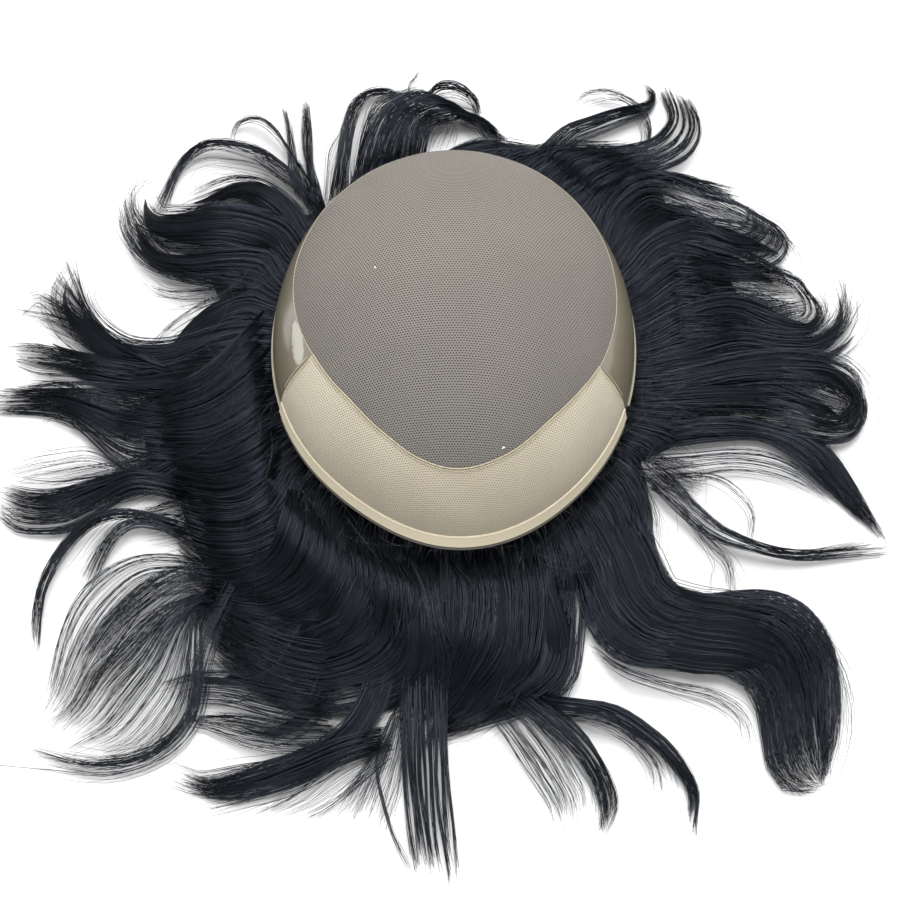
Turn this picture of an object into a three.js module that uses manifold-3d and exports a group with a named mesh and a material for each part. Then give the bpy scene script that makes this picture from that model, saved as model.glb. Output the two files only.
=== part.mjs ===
// Toupee hairpiece lying inside out on a table: a domed cap of net, skin and lace
// with its scalp side up, and hair that falls from under its rim and fans out flat.
// Millimetres and degrees, +Z up. The front of the cap faces -Y, and the origin is on
// the table under the middle of the whole hairpiece.

import * as THREE from 'three';
import { mergeVertices } from 'three/addons/utils/BufferGeometryUtils.js';
import Module from 'manifold-3d';

const manifold = await Module();
manifold.setup();

// The cap, as it stands on its hair
const RIM_WIDTH = 149.4;
const FRONT_REACH = 90;
const BACK_REACH = 85;
const CAP_RISE = 66;
const RIM_HEIGHT = 16;
const DOME_FULLNESS = 0.92;

// Walls of the cap's cloths, and the room left between neighbours
const NET_WALL = 1.2;
const SKIN_WALL = 1.4;
const LACE_WALL = 1.1;
const HEM_WALL = 1.7;
const HEM_STANDS_PROUD = 0.4;
const HEM_HEIGHT = 4.5;
const GAP = 0.3;

// Trims sewn on the cap
const SEAM_WIDTH = 2.4;
const SEAM_WALL = 0.6;
const SKIN_EDGE_WIDTH = 2;
const SKIN_EDGE_WALL = 1.3;
const LACE_EDGE_DROP = 2.8;
const LACE_EDGE_FLARE = 1.2;
const LACE_EDGE_WALL = 0.9;

// Where the lace gives way to the skin, at the rim and at the crown seam
const LEFT_JOIN = { rim: -161, seam: -159 };
const RIGHT_JOIN = { rim: -21, seam: -23 };
const LEFT_TAB_END = -161;
const RIGHT_TAB_END = -18;

// The hair
const HAIR_LENGTH = 152;
const ROOT_LAYER = 4;
const ROOT_ROOM = 0.6;
const ROOT_RING_WIDTH = 12;
const ROOT_CLEARANCE = 1;
const MASS_EDGE_DEPTH = 3;
const LOCK_START = 5;
const TIP_DEPTH_SHARE = 0.45;
const TIP_WIDTH_SHARE = 0.35;
const TIGHTEST_BEND_SHARE = 0.85;
const LOCK_SINK = 0.4;

// Fineness of the curved surfaces
const AROUND_STEPS = 40;
const BAND_STEPS_UP = 4;
const CROWN_STEPS_UP = 5;
const MASS_STEPS = 48;
const LOCK_STEPS_A_POINT = 1.35;

// Height of the crown seam round the cap, as the angle up from the rim:
// it dips in front, rises at the temples and runs low round the back
const SEAM_ROWS = [
  { at: -176, up: 34 },
  { at: -158, up: 39 },
  { at: -137, up: 41.9 },
  { at: -118, up: 40.3 },
  { at: -104, up: 37.6 },
  { at: -90, up: 35.9 },
  { at: -72, up: 37.2 },
  { at: -52, up: 39.4 },
  { at: -36, up: 38 },
  { at: -20, up: 34.4 },
  { at: -5, up: 31.4 },
  { at: 14, up: 28.4 },
  { at: 48, up: 24.5 },
  { at: 90, up: 22 },
  { at: 132, up: 24.5 },
  { at: 164, up: 28.6 },
];

// Dents and bulges of the cap: place, spread in degrees, and push outwards as a share
// of the rim's width
const CAP_DENTS = [
  { name: 'flat_left_front', at: -122, up: 0, wide: 26, tall: 46, push: -0.024 },
  { name: 'flat_right_front', at: -52, up: 0, wide: 20, tall: 40, push: -0.006 },
  { name: 'pinch_back_left', at: 130, up: 40, wide: 5, tall: 9, push: -0.012 },
  { name: 'fold_back_left', at: 141, up: 38, wide: 5, tall: 9, push: 0.01 },
];

// How far past the rim the hair lies closed, before it parts into locks: the direction
// from the cap's middle, and the reach and the height there as shares of HAIR_LENGTH
const MASS_ROWS = [
  { at: 0, reach: 0.42, height: 0.055 },
  { at: 12, reach: 0.38, height: 0.055 },
  { at: 24, reach: 0.36, height: 0.05 },
  { at: 38, reach: 0.25, height: 0.05 },
  { at: 52, reach: 0.22, height: 0.05 },
  { at: 66, reach: 0.13, height: 0.045 },
  { at: 80, reach: 0.08, height: 0.04 },
  { at: 93, reach: 0.03, height: 0.03 },
  { at: 104, reach: 0.16, height: 0.05 },
  { at: 119, reach: 0.04, height: 0.04 },
  { at: 132, reach: 0.12, height: 0.05 },
  { at: 146, reach: 0.33, height: 0.06 },
  { at: 157, reach: 0.29, height: 0.06 },
  { at: 168, reach: 0.15, height: 0.05 },
  { at: 180, reach: 0.33, height: 0.05 },
  { at: 190, reach: 0.42, height: 0.05 },
  { at: 198, reach: 0.43, height: 0.05 },
  { at: 208, reach: 0.3, height: 0.045 },
  { at: 226, reach: 0.44, height: 0.05 },
  { at: 240, reach: 0.42, height: 0.055 },
  { at: 252, reach: 0.46, height: 0.055 },
  { at: 268, reach: 0.45, height: 0.055 },
  { at: 284, reach: 0.4, height: 0.055 },
  { at: 292, reach: 0.17, height: 0.05 },
  { at: 304, reach: 0.3, height: 0.06 },
  { at: 316, reach: 0.12, height: 0.05 },
  { at: 330, reach: 0.09, height: 0.045 },
  { at: 342, reach: 0.22, height: 0.05 },
  { at: 352, reach: 0.38, height: 0.055 },
];

// Cross-section of a lock: shares of its half width and half depth, flat underneath
const LOCK_SECTION = [
  { across: -1, up: -0.3 },
  { across: -0.8, up: -1 },
  { across: 0.8, up: -1 },
  { across: 1, up: -0.3 },
  { across: 0.45, up: 1 },
  { across: -0.45, up: 1 },
];
const THIN_LOCK_SECTION = [
  { across: -1, up: -1 },
  { across: 1, up: -1 },
  { across: 0.4, up: 1 },
  { across: -0.4, up: 1 },
];
const THIN_LOCK_WIDTH = 0.05;

// The locks, anticlockwise from the right-hand side. root is the direction from the
// cap's middle where a lock leaves the rim. Each point of its path is [direction,
// distance past the rim], with the distance, the width, the depth and the lift off the
// table as shares of HAIR_LENGTH.
const LOCKS = [
  { name: 'right_upper_curl', root: 6, width: 0.12, depth: 0.06, lift: 0.02,
    path: [[10, 0.15], [11, 0.3], [7, 0.42], [6, 0.5], [9, 0.54], [13, 0.5]] },
  { name: 'right_comb_low', root: 18, width: 0.15, depth: 0.06, lift: 0.01,
    path: [[22, 0.15], [22, 0.3], [17, 0.42], [13, 0.47]] },
  { name: 'right_comb_mid', root: 27, width: 0.12, depth: 0.055, lift: 0.02,
    path: [[31, 0.15], [29, 0.3], [24, 0.42], [20, 0.49], [17, 0.485]] },
  { name: 'right_comb_fill', root: 33, width: 0.12, depth: 0.05, lift: 0,
    path: [[37, 0.12], [37, 0.25], [31, 0.35], [26, 0.41]] },
  { name: 'right_comb_high', root: 40, width: 0.1, depth: 0.05, lift: 0.03,
    path: [[45, 0.13], [44, 0.25], [38, 0.32], [32, 0.39], [27, 0.44], [23, 0.46]] },
  { name: 'right_comb_top', root: 48, width: 0.045, depth: 0.035, lift: 0.03,
    path: [[50, 0.12], [48, 0.23], [43, 0.33], [38, 0.385], [34, 0.43]] },
  { name: 'back_right_outer_curl', root: 56, width: 0.07, depth: 0.045, lift: 0.03,
    path: [[54, 0.13], [50, 0.25], [45.5, 0.37], [45, 0.46], [48.5, 0.53], [53, 0.55]] },
  { name: 'back_right_fill', root: 60, width: 0.14, depth: 0.05, lift: 0,
    path: [[58, 0.1], [55, 0.2], [50, 0.28]] },
  { name: 'back_right_inner_curl', root: 64, width: 0.06, depth: 0.045, lift: 0.04,
    path: [[62, 0.12], [58, 0.23], [52, 0.33], [50.5, 0.4], [53, 0.47], [56.5, 0.52]] },
  { name: 'back_right_sweep', root: 74, width: 0.06, depth: 0.045, lift: 0.05,
    path: [[74, 0.1], [71, 0.17], [66, 0.25], [61, 0.32], [56.5, 0.4], [55, 0.48]] },
  { name: 'back_low', root: 94, width: 0.08, depth: 0.05, lift: 0.02,
    path: [[89, 0.08], [83, 0.115], [77, 0.14], [72, 0.16], [66, 0.2]] },
  { name: 'back_arch', root: 107, width: 0.12, depth: 0.06, lift: 0.06,
    path: [[105, 0.16], [98, 0.26], [92, 0.25], [87, 0.2], [81, 0.12]] },
  { name: 'back_arch_thin', root: 118, width: 0.04, depth: 0.035, lift: 0.05,
    path: [[114, 0.24], [109, 0.33], [104, 0.355], [98, 0.31]] },
  { name: 'back_left_spike', root: 127, width: 0.04, depth: 0.035, lift: 0.03,
    path: [[126, 0.08], [122.5, 0.235], [117.5, 0.38]] },
  { name: 'back_left_spike_thin', root: 130, width: 0.028, depth: 0.028, lift: 0.03,
    path: [[127, 0.1], [124, 0.27], [121, 0.42]] },
  { name: 'left_upper_arc', root: 135, width: 0.04, depth: 0.035, lift: 0.04,
    path: [[131, 0.2], [132.5, 0.4], [138, 0.48], [144.5, 0.475], [149, 0.43]] },
  { name: 'left_inner_curl', root: 138, width: 0.09, depth: 0.05, lift: 0.04,
    path: [[136, 0.14], [138.5, 0.29], [144, 0.37], [148, 0.43]] },
  { name: 'left_great_curl_top', root: 145, width: 0.15, depth: 0.08, lift: 0.05,
    path: [[143, 0.1], [147, 0.22], [152, 0.36], [153, 0.45], [149, 0.52], [146, 0.49]] },
  { name: 'left_great_curl_low', root: 155, width: 0.11, depth: 0.06, lift: 0.02,
    path: [[152, 0.1], [156, 0.2], [160, 0.3], [160, 0.4], [157, 0.47], [153, 0.52],
      [150, 0.52]] },
  { name: 'left_fill', root: 165, width: 0.14, depth: 0.06, lift: 0,
    path: [[165, 0.1], [170, 0.18], [176, 0.27], [182, 0.34]] },
  { name: 'left_upper_hook', root: 172, width: 0.09, depth: 0.05, lift: 0.02,
    path: [[174, 0.15], [178, 0.3], [177, 0.43], [172, 0.56], [167.5, 0.62], [162, 0.61]] },
  { name: 'left_upper_wisp', root: 176, width: 0.035, depth: 0.03, lift: 0.02,
    path: [[178, 0.2], [178, 0.42], [173, 0.6], [170, 0.69], [173, 0.75]] },
  { name: 'left_feather_high', root: 181, width: 0.07, depth: 0.035, lift: 0.01,
    path: [[182, 0.2], [181, 0.4], [177.5, 0.6], [175, 0.69]] },
  { name: 'left_feather_mid', root: 185, width: 0.07, depth: 0.035, lift: 0.01,
    path: [[185, 0.2], [184, 0.45], [180.5, 0.6], [179.5, 0.74]] },
  { name: 'left_feather_low', root: 190, width: 0.09, depth: 0.045, lift: 0.01,
    path: [[190, 0.2], [192, 0.4], [188.5, 0.52], [185.5, 0.6], [186, 0.76]] },
  { name: 'left_wing', root: 197, width: 0.09, depth: 0.045, lift: 0.01,
    path: [[200, 0.2], [203, 0.42], [202, 0.53], [201, 0.65], [198, 0.79]] },
  { name: 'left_wing_edge', root: 202, width: 0.04, depth: 0.03, lift: 0.01,
    path: [[204, 0.2], [206, 0.4], [208, 0.55], [206.5, 0.68], [202, 0.8]] },
  { name: 'front_left_thin_arc', root: 208, width: 0.03, depth: 0.028, lift: 0.03,
    path: [[210, 0.2], [212.5, 0.4], [209, 0.48], [207.5, 0.58], [208, 0.66], [214, 0.76],
      [219, 0.8]] },
  { name: 'front_left_veil_high', root: 213, width: 0.06, depth: 0.035, lift: 0.02,
    path: [[216, 0.2], [217, 0.4], [215, 0.52], [216, 0.63], [218, 0.73], [222, 0.82]] },
  { name: 'front_left_veil', root: 219, width: 0.09, depth: 0.03, lift: 0.01,
    path: [[220, 0.2], [222, 0.4], [224, 0.6], [225, 0.77], [226, 0.91]] },
  { name: 'front_left_veil_edge', root: 226, width: 0.04, depth: 0.03, lift: 0.02,
    path: [[227, 0.2], [230, 0.42], [233, 0.56], [236.5, 0.7], [236, 0.8], [233, 0.91],
      [228, 1], [224, 1.08]] },
  { name: 'front_left_swirl_high', root: 236, width: 0.16, depth: 0.07, lift: 0.02,
    path: [[241, 0.12], [240, 0.25], [236, 0.36], [231, 0.42]] },
  { name: 'front_left_hook_high', root: 240, width: 0.07, depth: 0.04, lift: 0.01,
    path: [[241, 0.2], [242, 0.38], [241, 0.5], [236, 0.58], [229, 0.64]] },
  { name: 'front_left_swirl_low', root: 247, width: 0.17, depth: 0.07, lift: 0.02,
    path: [[250, 0.15], [249, 0.3], [244, 0.42], [238, 0.47]] },
  { name: 'front_left_hook_low', root: 246, width: 0.07, depth: 0.04, lift: 0.01,
    path: [[248, 0.25], [250, 0.42], [249, 0.55], [246, 0.62], [242, 0.64], [238, 0.66]] },
  { name: 'front_left_hook_outer', root: 254, width: 0.09, depth: 0.045, lift: 0.02,
    path: [[256, 0.2], [258, 0.4], [256, 0.55], [251, 0.68], [246, 0.77], [242, 0.85],
      [238.5, 0.88]] },
  { name: 'front_tuft', root: 264, width: 0.11, depth: 0.05, lift: 0.01,
    path: [[264.5, 0.2], [265.5, 0.4], [267, 0.58], [268, 0.75], [268.8, 0.88]] },
  { name: 'front_sweep_left', root: 262, width: 0.16, depth: 0.07, lift: 0.02,
    path: [[263, 0.15], [264, 0.3], [261, 0.42], [256, 0.5]] },
  { name: 'front_sweep_mid', root: 272, width: 0.16, depth: 0.06, lift: 0.01,
    path: [[272, 0.15], [271, 0.3], [267, 0.42], [263, 0.5]] },
  { name: 'front_sweep_right', root: 281, width: 0.16, depth: 0.07, lift: 0.02,
    path: [[280, 0.15], [278, 0.3], [273, 0.42], [266, 0.47]] },
  { name: 'front_sweep_edge', root: 290, width: 0.13, depth: 0.06, lift: 0.01,
    path: [[288, 0.15], [287.5, 0.3], [284, 0.41], [276, 0.47]] },
  { name: 'front_right_hook_inner', root: 277, width: 0.07, depth: 0.04, lift: 0.01,
    path: [[279, 0.2], [279, 0.38], [280, 0.49], [284, 0.53], [287, 0.63], [287.5, 0.73],
      [285.5, 0.83]] },
  { name: 'front_right_hook_outer', root: 287, width: 0.06, depth: 0.04, lift: 0.02,
    path: [[287, 0.2], [285, 0.38], [289, 0.48], [294, 0.54], [297, 0.66], [296.5, 0.78],
      [295, 0.87]] },
  { name: 'front_right_great_wave', root: 308, width: 0.26, depth: 0.09, lift: 0.03,
    path: [[305.5, 0.19], [303.5, 0.34], [307.5, 0.475], [312.5, 0.59], [315, 0.73],
      [312.5, 0.85], [307.5, 0.95]] },
  { name: 'front_right_fill', root: 321, width: 0.12, depth: 0.05, lift: 0,
    path: [[320, 0.08], [315, 0.18], [310, 0.27]] },
  { name: 'right_thin_streak', root: 328, width: 0.045, depth: 0.03, lift: 0.01,
    path: [[326.5, 0.16], [324.5, 0.32], [323, 0.48], [325.5, 0.58], [329, 0.69],
      [332, 0.79]] },
  { name: 'right_wing', root: 338, width: 0.11, depth: 0.05, lift: 0.02,
    path: [[342, 0.12], [344, 0.28], [343.5, 0.44], [342, 0.59], [339, 0.71], [335, 0.78]] },
  { name: 'right_lower_hook', root: 346, width: 0.11, depth: 0.06, lift: 0.01,
    path: [[349, 0.15], [352, 0.3], [353, 0.45], [351, 0.57], [347, 0.61]] },
  { name: 'right_lower_curl', root: 350, width: 0.1, depth: 0.06, lift: 0.03,
    path: [[353, 0.15], [357, 0.3], [358, 0.45], [357, 0.57], [352, 0.63], [347, 0.625]] },
  { name: 'right_middle_flick', root: 354, width: 0.06, depth: 0.04, lift: 0.02,
    path: [[358, 0.15], [1, 0.35], [0, 0.5], [3, 0.6], [7.5, 0.67]] },
  { name: 'right_middle_curl', root: 359, width: 0.08, depth: 0.05, lift: 0.02,
    path: [[2, 0.15], [5, 0.3], [3, 0.42], [3, 0.52], [7, 0.595], [12, 0.61], [15, 0.61]] },
];

const radians = THREE.MathUtils.degToRad;
const lerp = THREE.MathUtils.lerp;
const smooth = (value) => THREE.MathUtils.smoothstep(value, 0, 1);

// Smallest turn from one angle to another, in degrees
function turnBetween(from, to) {
  return THREE.MathUtils.euclideanModulo(to - from + 180, 360) - 180;
}

// Outward push of all dents at a place on the cap
function dentPush(at, up) {
  let push = 0;
  for (const dent of CAP_DENTS) {
    const across = turnBetween(dent.at, at) / dent.wide;
    const along = (up - dent.up) / dent.tall;
    push += dent.push * RIM_WIDTH * Math.exp(-(across * across + along * along));
  }
  return push;
}

// A point of the cap's outer face: at is the angle round it, up the angle from the rim
function capPoint(at, up) {
  const around = radians(at);
  const reach = Math.sin(around) < 0 ? FRONT_REACH : BACK_REACH;
  const inward = Math.cos(radians(up)) ** DOME_FULLNESS;
  const push = dentPush(at, up) * inward;
  return new THREE.Vector3(
    Math.cos(around) * (RIM_WIDTH / 2 * inward + push),
    Math.sin(around) * (reach * inward + push),
    RIM_HEIGHT + CAP_RISE * Math.sin(radians(up)),
  );
}

// The outward direction square to the cap's face
function capNormal(at, up) {
  const step = 0.5;
  const low = Math.max(up - step, 0);
  const around = capPoint(at + step, up).sub(capPoint(at - step, up));
  const upward = capPoint(at, low + step).sub(capPoint(at, low));
  return around.cross(upward).normalize();
}

// A point that stands a distance out from the cap's face
function offCap(at, up, out) {
  return capPoint(at, up).addScaledVector(capNormal(at, up), out);
}

// A point at the rim's outline, moved out level and set at its own height
function offRim(at, out, height) {
  const point = offCap(at, 0, out);
  point.z = height;
  return point;
}

// How far up the cap, in degrees, a length measured from a place on it reaches
function degreesFor(at, up, length) {
  const step = 0.5;
  const perDegree = capPoint(at, up + step).distanceTo(capPoint(at, up)) / step;
  return length / perDegree;
}

// The crown seam's height at any angle, through the rows of its table
const seamCurve = new THREE.CatmullRomCurve3(
  SEAM_ROWS.map((row) => new THREE.Vector3(
    row.up * Math.cos(radians(row.at)),
    row.up * Math.sin(radians(row.at)),
    0,
  )),
  true,
  'centripetal',
);
const seamTrace = seamCurve.getPoints(AROUND_STEPS * 8).map((point) => ({
  at: THREE.MathUtils.radToDeg(Math.atan2(point.y, point.x)),
  up: Math.hypot(point.x, point.y),
}));
function seamUp(at) {
  let before = seamTrace[0];
  let after = seamTrace[0];
  let nearestBefore = -360;
  let nearestAfter = 360;
  for (const row of seamTrace) {
    const turn = turnBetween(at, row.at);
    if (turn <= 0 && turn > nearestBefore) {
      before = row;
      nearestBefore = turn;
    }
    if (turn > 0 && turn < nearestAfter) {
      after = row;
      nearestAfter = turn;
    }
  }
  return lerp(before.up, after.up, nearestBefore / (nearestBefore - nearestAfter));
}

// Closed mesh from shared points and triangles, with its faces turned outwards
function closedMesh(points, triangles) {
  let volume = 0;
  for (const [a, b, c] of triangles) {
    volume += points[a].dot(points[b].clone().cross(points[c]));
  }
  const outward = volume > 0 ? triangles : triangles.map(([a, b, c]) => [a, c, b]);
  const geometry = new THREE.BufferGeometry().setFromPoints(points);
  geometry.setIndex(outward.flat());
  geometry.computeVertexNormals();
  return geometry;
}

// Loft through sections of the same number of points. A section runs along one side
// and comes back along the other, so each end is closed by rungs between the sides.
function loft(sections, isLoop) {
  const count = sections[0].length;
  const points = sections.flat();
  const triangles = [];
  const last = isLoop ? sections.length : sections.length - 1;
  for (let row = 0; row < last; row += 1) {
    const here = row * count;
    const next = ((row + 1) % sections.length) * count;
    for (let side = 0; side < count; side += 1) {
      const beside = (side + 1) % count;
      triangles.push([here + side, next + side, next + beside]);
      triangles.push([here + side, next + beside, here + beside]);
    }
  }
  if (!isLoop) {
    const end = (sections.length - 1) * count;
    for (let rung = 0; rung < count / 2 - 1; rung += 1) {
      const far = count - 1 - rung;
      triangles.push([rung, rung + 1, far - 1], [rung, far - 1, far]);
      triangles.push([end + rung, end + far - 1, end + rung + 1]);
      triangles.push([end + rung, end + far, end + far - 1]);
    }
  }
  return closedMesh(points, triangles);
}

// A stretch of the cap's wall between two angles round it. low and high give the
// wall's edges at any angle, in degrees up from the rim.
function capBand({ from, to, low, high, outer, inner, stepsUp, lean }) {
  const span = to - from;
  const steps = Math.ceil((AROUND_STEPS * Math.abs(span)) / 360);
  const sections = [];
  for (let step = 0; step <= steps; step += 1) {
    const share = step / steps;
    const front = [];
    const back = [];
    for (let rise = 0; rise <= stepsUp; rise += 1) {
      const climb = rise / stepsUp;
      const at = from + span * share + (lean ? lean(share, climb) : 0);
      const up = lerp(low(at), high(at), climb);
      front.push(offCap(at, up, outer));
      back.unshift(offCap(at, up, inner));
    }
    sections.push([...front, ...back]);
  }
  return loft(sections, false);
}

// A closed dome wall from its lower edge to the top of the cap
function capDome({ low, outer, inner, stepsUp }) {
  const points = [];
  const triangles = [];
  const layers = [outer, inner].map((out) => {
    const first = points.length;
    for (let rise = 0; rise < stepsUp; rise += 1) {
      for (let step = 0; step < AROUND_STEPS; step += 1) {
        const at = (360 * step) / AROUND_STEPS;
        points.push(offCap(at, lerp(low(at), 90, rise / stepsUp), out));
      }
    }
    points.push(new THREE.Vector3(0, 0, RIM_HEIGHT + CAP_RISE + out));
    return first;
  });
  layers.forEach((first, layer) => {
    const top = first + stepsUp * AROUND_STEPS;
    for (let step = 0; step < AROUND_STEPS; step += 1) {
      const next = (step + 1) % AROUND_STEPS;
      const faces = [];
      for (let rise = 0; rise < stepsUp - 1; rise += 1) {
        const here = first + rise * AROUND_STEPS;
        const above = here + AROUND_STEPS;
        faces.push([here + step, here + next, above + next]);
        faces.push([here + step, above + next, above + step]);
      }
      const crest = top - AROUND_STEPS;
      faces.push([crest + step, crest + next, top]);
      triangles.push(...faces.map(([a, b, c]) => (layer === 0 ? [a, b, c] : [a, c, b])));
    }
  });
  const [outerEdge, innerEdge] = layers;
  for (let step = 0; step < AROUND_STEPS; step += 1) {
    const next = (step + 1) % AROUND_STEPS;
    triangles.push([outerEdge + step, innerEdge + step, innerEdge + next]);
    triangles.push([outerEdge + step, innerEdge + next, outerEdge + next]);
  }
  return closedMesh(points, triangles);
}

function crownNet() {
  const low = (at) => seamUp(at) + degreesFor(at, seamUp(at), GAP / 2);
  return capDome({ low, outer: 0, inner: -NET_WALL, stepsUp: CROWN_STEPS_UP });
}

// Slant of a band's end, from its angle at the rim to its angle at the crown seam
function endSlant(start, end) {
  return (share, climb) => climb * lerp(start.seam - start.rim, end.seam - end.rim, share);
}

const belowSeam = (at) => seamUp(at) - degreesFor(at, seamUp(at), GAP / 2);
const hemTop = (at) => degreesFor(at, 0, HEM_HEIGHT);
const degreesRound = (length) => THREE.MathUtils.radToDeg(length / (RIM_WIDTH / 2));

function skinBand() {
  const room = degreesRound(GAP);
  return capBand({
    from: RIGHT_JOIN.rim + room,
    to: LEFT_JOIN.rim + 360 - room,
    low: () => 0,
    high: belowSeam,
    outer: 0,
    inner: -SKIN_WALL,
    stepsUp: BAND_STEPS_UP,
    lean: endSlant(RIGHT_JOIN, LEFT_JOIN),
  });
}

function frontLace() {
  const room = degreesRound(GAP);
  return capBand({
    from: LEFT_JOIN.rim + room,
    to: RIGHT_JOIN.rim - room,
    low: (at) => hemTop(at) + degreesFor(at, 0, GAP),
    high: belowSeam,
    outer: 0,
    inner: -LACE_WALL,
    stepsUp: BAND_STEPS_UP,
    lean: endSlant(LEFT_JOIN, RIGHT_JOIN),
  });
}

// Folded hem along the lace's free edge, thicker than the lace and a little proud
function laceHem() {
  const room = degreesRound(GAP);
  return capBand({
    from: LEFT_JOIN.rim + room,
    to: RIGHT_JOIN.rim - room,
    low: () => 0,
    high: hemTop,
    outer: HEM_STANDS_PROUD,
    inner: HEM_STANDS_PROUD - HEM_WALL,
    stepsUp: 1,
  });
}

// Narrow strip of raw netting that shows below the hem and flares outwards
function laceEdge() {
  const from = LEFT_JOIN.rim + 2;
  const to = RIGHT_JOIN.rim - 2;
  const steps = Math.ceil((AROUND_STEPS * (to - from)) / 360);
  const top = RIM_HEIGHT - GAP;
  const bottom = RIM_HEIGHT - LACE_EDGE_DROP;
  const sections = [];
  for (let step = 0; step <= steps; step += 1) {
    const at = lerp(from, to, step / steps);
    sections.push([
      offRim(at, LACE_EDGE_FLARE + LACE_EDGE_WALL, bottom),
      offRim(at, LACE_EDGE_WALL, top),
      offRim(at, 0, top),
      offRim(at, LACE_EDGE_FLARE, bottom),
    ]);
  }
  return loft(sections, false);
}

// Flat cord of stitching that covers the join between the net and the bands
function crownSeam() {
  const sections = [];
  for (let step = 0; step < AROUND_STEPS; step += 1) {
    const at = (360 * step) / AROUND_STEPS;
    const half = degreesFor(at, seamUp(at), SEAM_WIDTH / 2);
    const low = seamUp(at) - half;
    const high = seamUp(at) + half;
    sections.push([
      offCap(at, low, GAP + SEAM_WALL),
      offCap(at, high, GAP + SEAM_WALL),
      offCap(at, high, GAP),
      offCap(at, low, GAP),
    ]);
  }
  return loft(sections, true);
}

// Short line of stitching up the cap, over the join between the lace and the skin
function joinSeam(join) {
  const half = degreesRound(SEAM_WIDTH / 2);
  const stepsUp = 6;
  const sections = [];
  for (let rise = 0; rise <= stepsUp; rise += 1) {
    const climb = rise / stepsUp;
    const at = lerp(join.rim, join.seam, climb);
    const first = hemTop(at) + degreesFor(at, 0, SKIN_EDGE_WIDTH);
    const last = seamUp(at) - degreesFor(at, seamUp(at), SEAM_WIDTH / 2 + GAP);
    const up = lerp(first, last, climb);
    const top = HEM_STANDS_PROUD + GAP + SEAM_WALL;
    const bottom = HEM_STANDS_PROUD + GAP;
    sections.push([
      offCap(at - half, up, top),
      offCap(at + half, up, top),
      offCap(at + half, up, bottom),
      offCap(at - half, up, bottom),
    ]);
  }
  return loft(sections, false);
}

// Cut edge of the skin, a raised strip round the rim that ends in a small step beside
// each end of the hem
function skinEdge() {
  return capBand({
    from: RIGHT_TAB_END,
    to: LEFT_TAB_END + 360,
    low: () => 0,
    high: (at) => degreesFor(at, 0, SKIN_EDGE_WIDTH),
    outer: GAP + SKIN_EDGE_WALL,
    inner: GAP,
    stepsUp: 1,
  });
}

const thickestWall = Math.max(NET_WALL, SKIN_WALL, LACE_WALL, HEM_WALL - HEM_STANDS_PROUD);

// Layer of hair at its roots, lining the whole inside of the cap
function crownHair() {
  const outer = -(thickestWall + ROOT_ROOM);
  return capDome({
    low: () => 0,
    outer,
    inner: outer - ROOT_LAYER,
    stepsUp: CROWN_STEPS_UP,
  });
}

// The cap's own angle for a true direction from its middle, seen from above
function capAngle(direction) {
  const around = radians(direction);
  const reach = Math.sin(around) < 0 ? FRONT_REACH : BACK_REACH;
  const across = Math.cos(around) / (RIM_WIDTH / 2);
  return THREE.MathUtils.radToDeg(Math.atan2(Math.sin(around) / reach, across));
}

// A place on the table, in a direction from the cap's middle and a distance past its rim
function tablePlace(direction, past) {
  const rim = capPoint(capAngle(direction), 0);
  rim.z = 0;
  return rim.multiplyScalar(1 + past / rim.length());
}

// A value of the closed mass at any angle, between the rows of its table
function massValue(at, column) {
  const next = MASS_ROWS.findIndex((row) => row.at > at);
  const after = MASS_ROWS[Math.max(next, 0)];
  const before = MASS_ROWS[(next > 0 ? next : MASS_ROWS.length) - 1];
  const span = turnBetween(before.at, after.at);
  return lerp(before[column], after[column], turnBetween(before.at, at) / span);
}

// The closed mass of hair: a ring of gathered roots that the cap's rim stands on,
// and the apron that slopes down from it to the table
function hairMass() {
  const rimTop = RIM_HEIGHT - GAP;
  const apronTop = RIM_HEIGHT - LACE_EDGE_DROP - ROOT_CLEARANCE;
  const sections = [];
  for (let step = 0; step < MASS_STEPS; step += 1) {
    const direction = (360 * step) / MASS_STEPS;
    const at = capAngle(direction);
    const reach = massValue(direction, 'reach') * HAIR_LENGTH;
    const height = massValue(direction, 'height') * HAIR_LENGTH;
    const edge = tablePlace(direction, reach);
    const foot = tablePlace(direction, reach);
    const middle = tablePlace(direction, reach / 2);
    foot.z = -LOCK_SINK;
    edge.z = MASS_EDGE_DEPTH;
    middle.z = Math.min(height, apronTop);
    sections.push([
      offRim(at, -(GAP + ROOT_RING_WIDTH), -LOCK_SINK),
      offRim(at, -(GAP + ROOT_RING_WIDTH), rimTop),
      offRim(at, -GAP, rimTop),
      offRim(at, -GAP, apronTop),
      middle,
      edge,
      foot,
      offRim(at, -GAP, -LOCK_SINK),
    ]);
  }
  return loft(sections, true);
}

// Radius of the bend in a lock's centre line
function bendRadius(curve, share) {
  const step = 0.03;
  const from = Math.max(share - step, 0);
  const to = Math.min(share + step, 1);
  const turn = Math.max(curve.getTangent(from).angleTo(curve.getTangent(to)), 1e-4);
  return curve.getPoint(from).distanceTo(curve.getPoint(to)) / turn;
}

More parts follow.
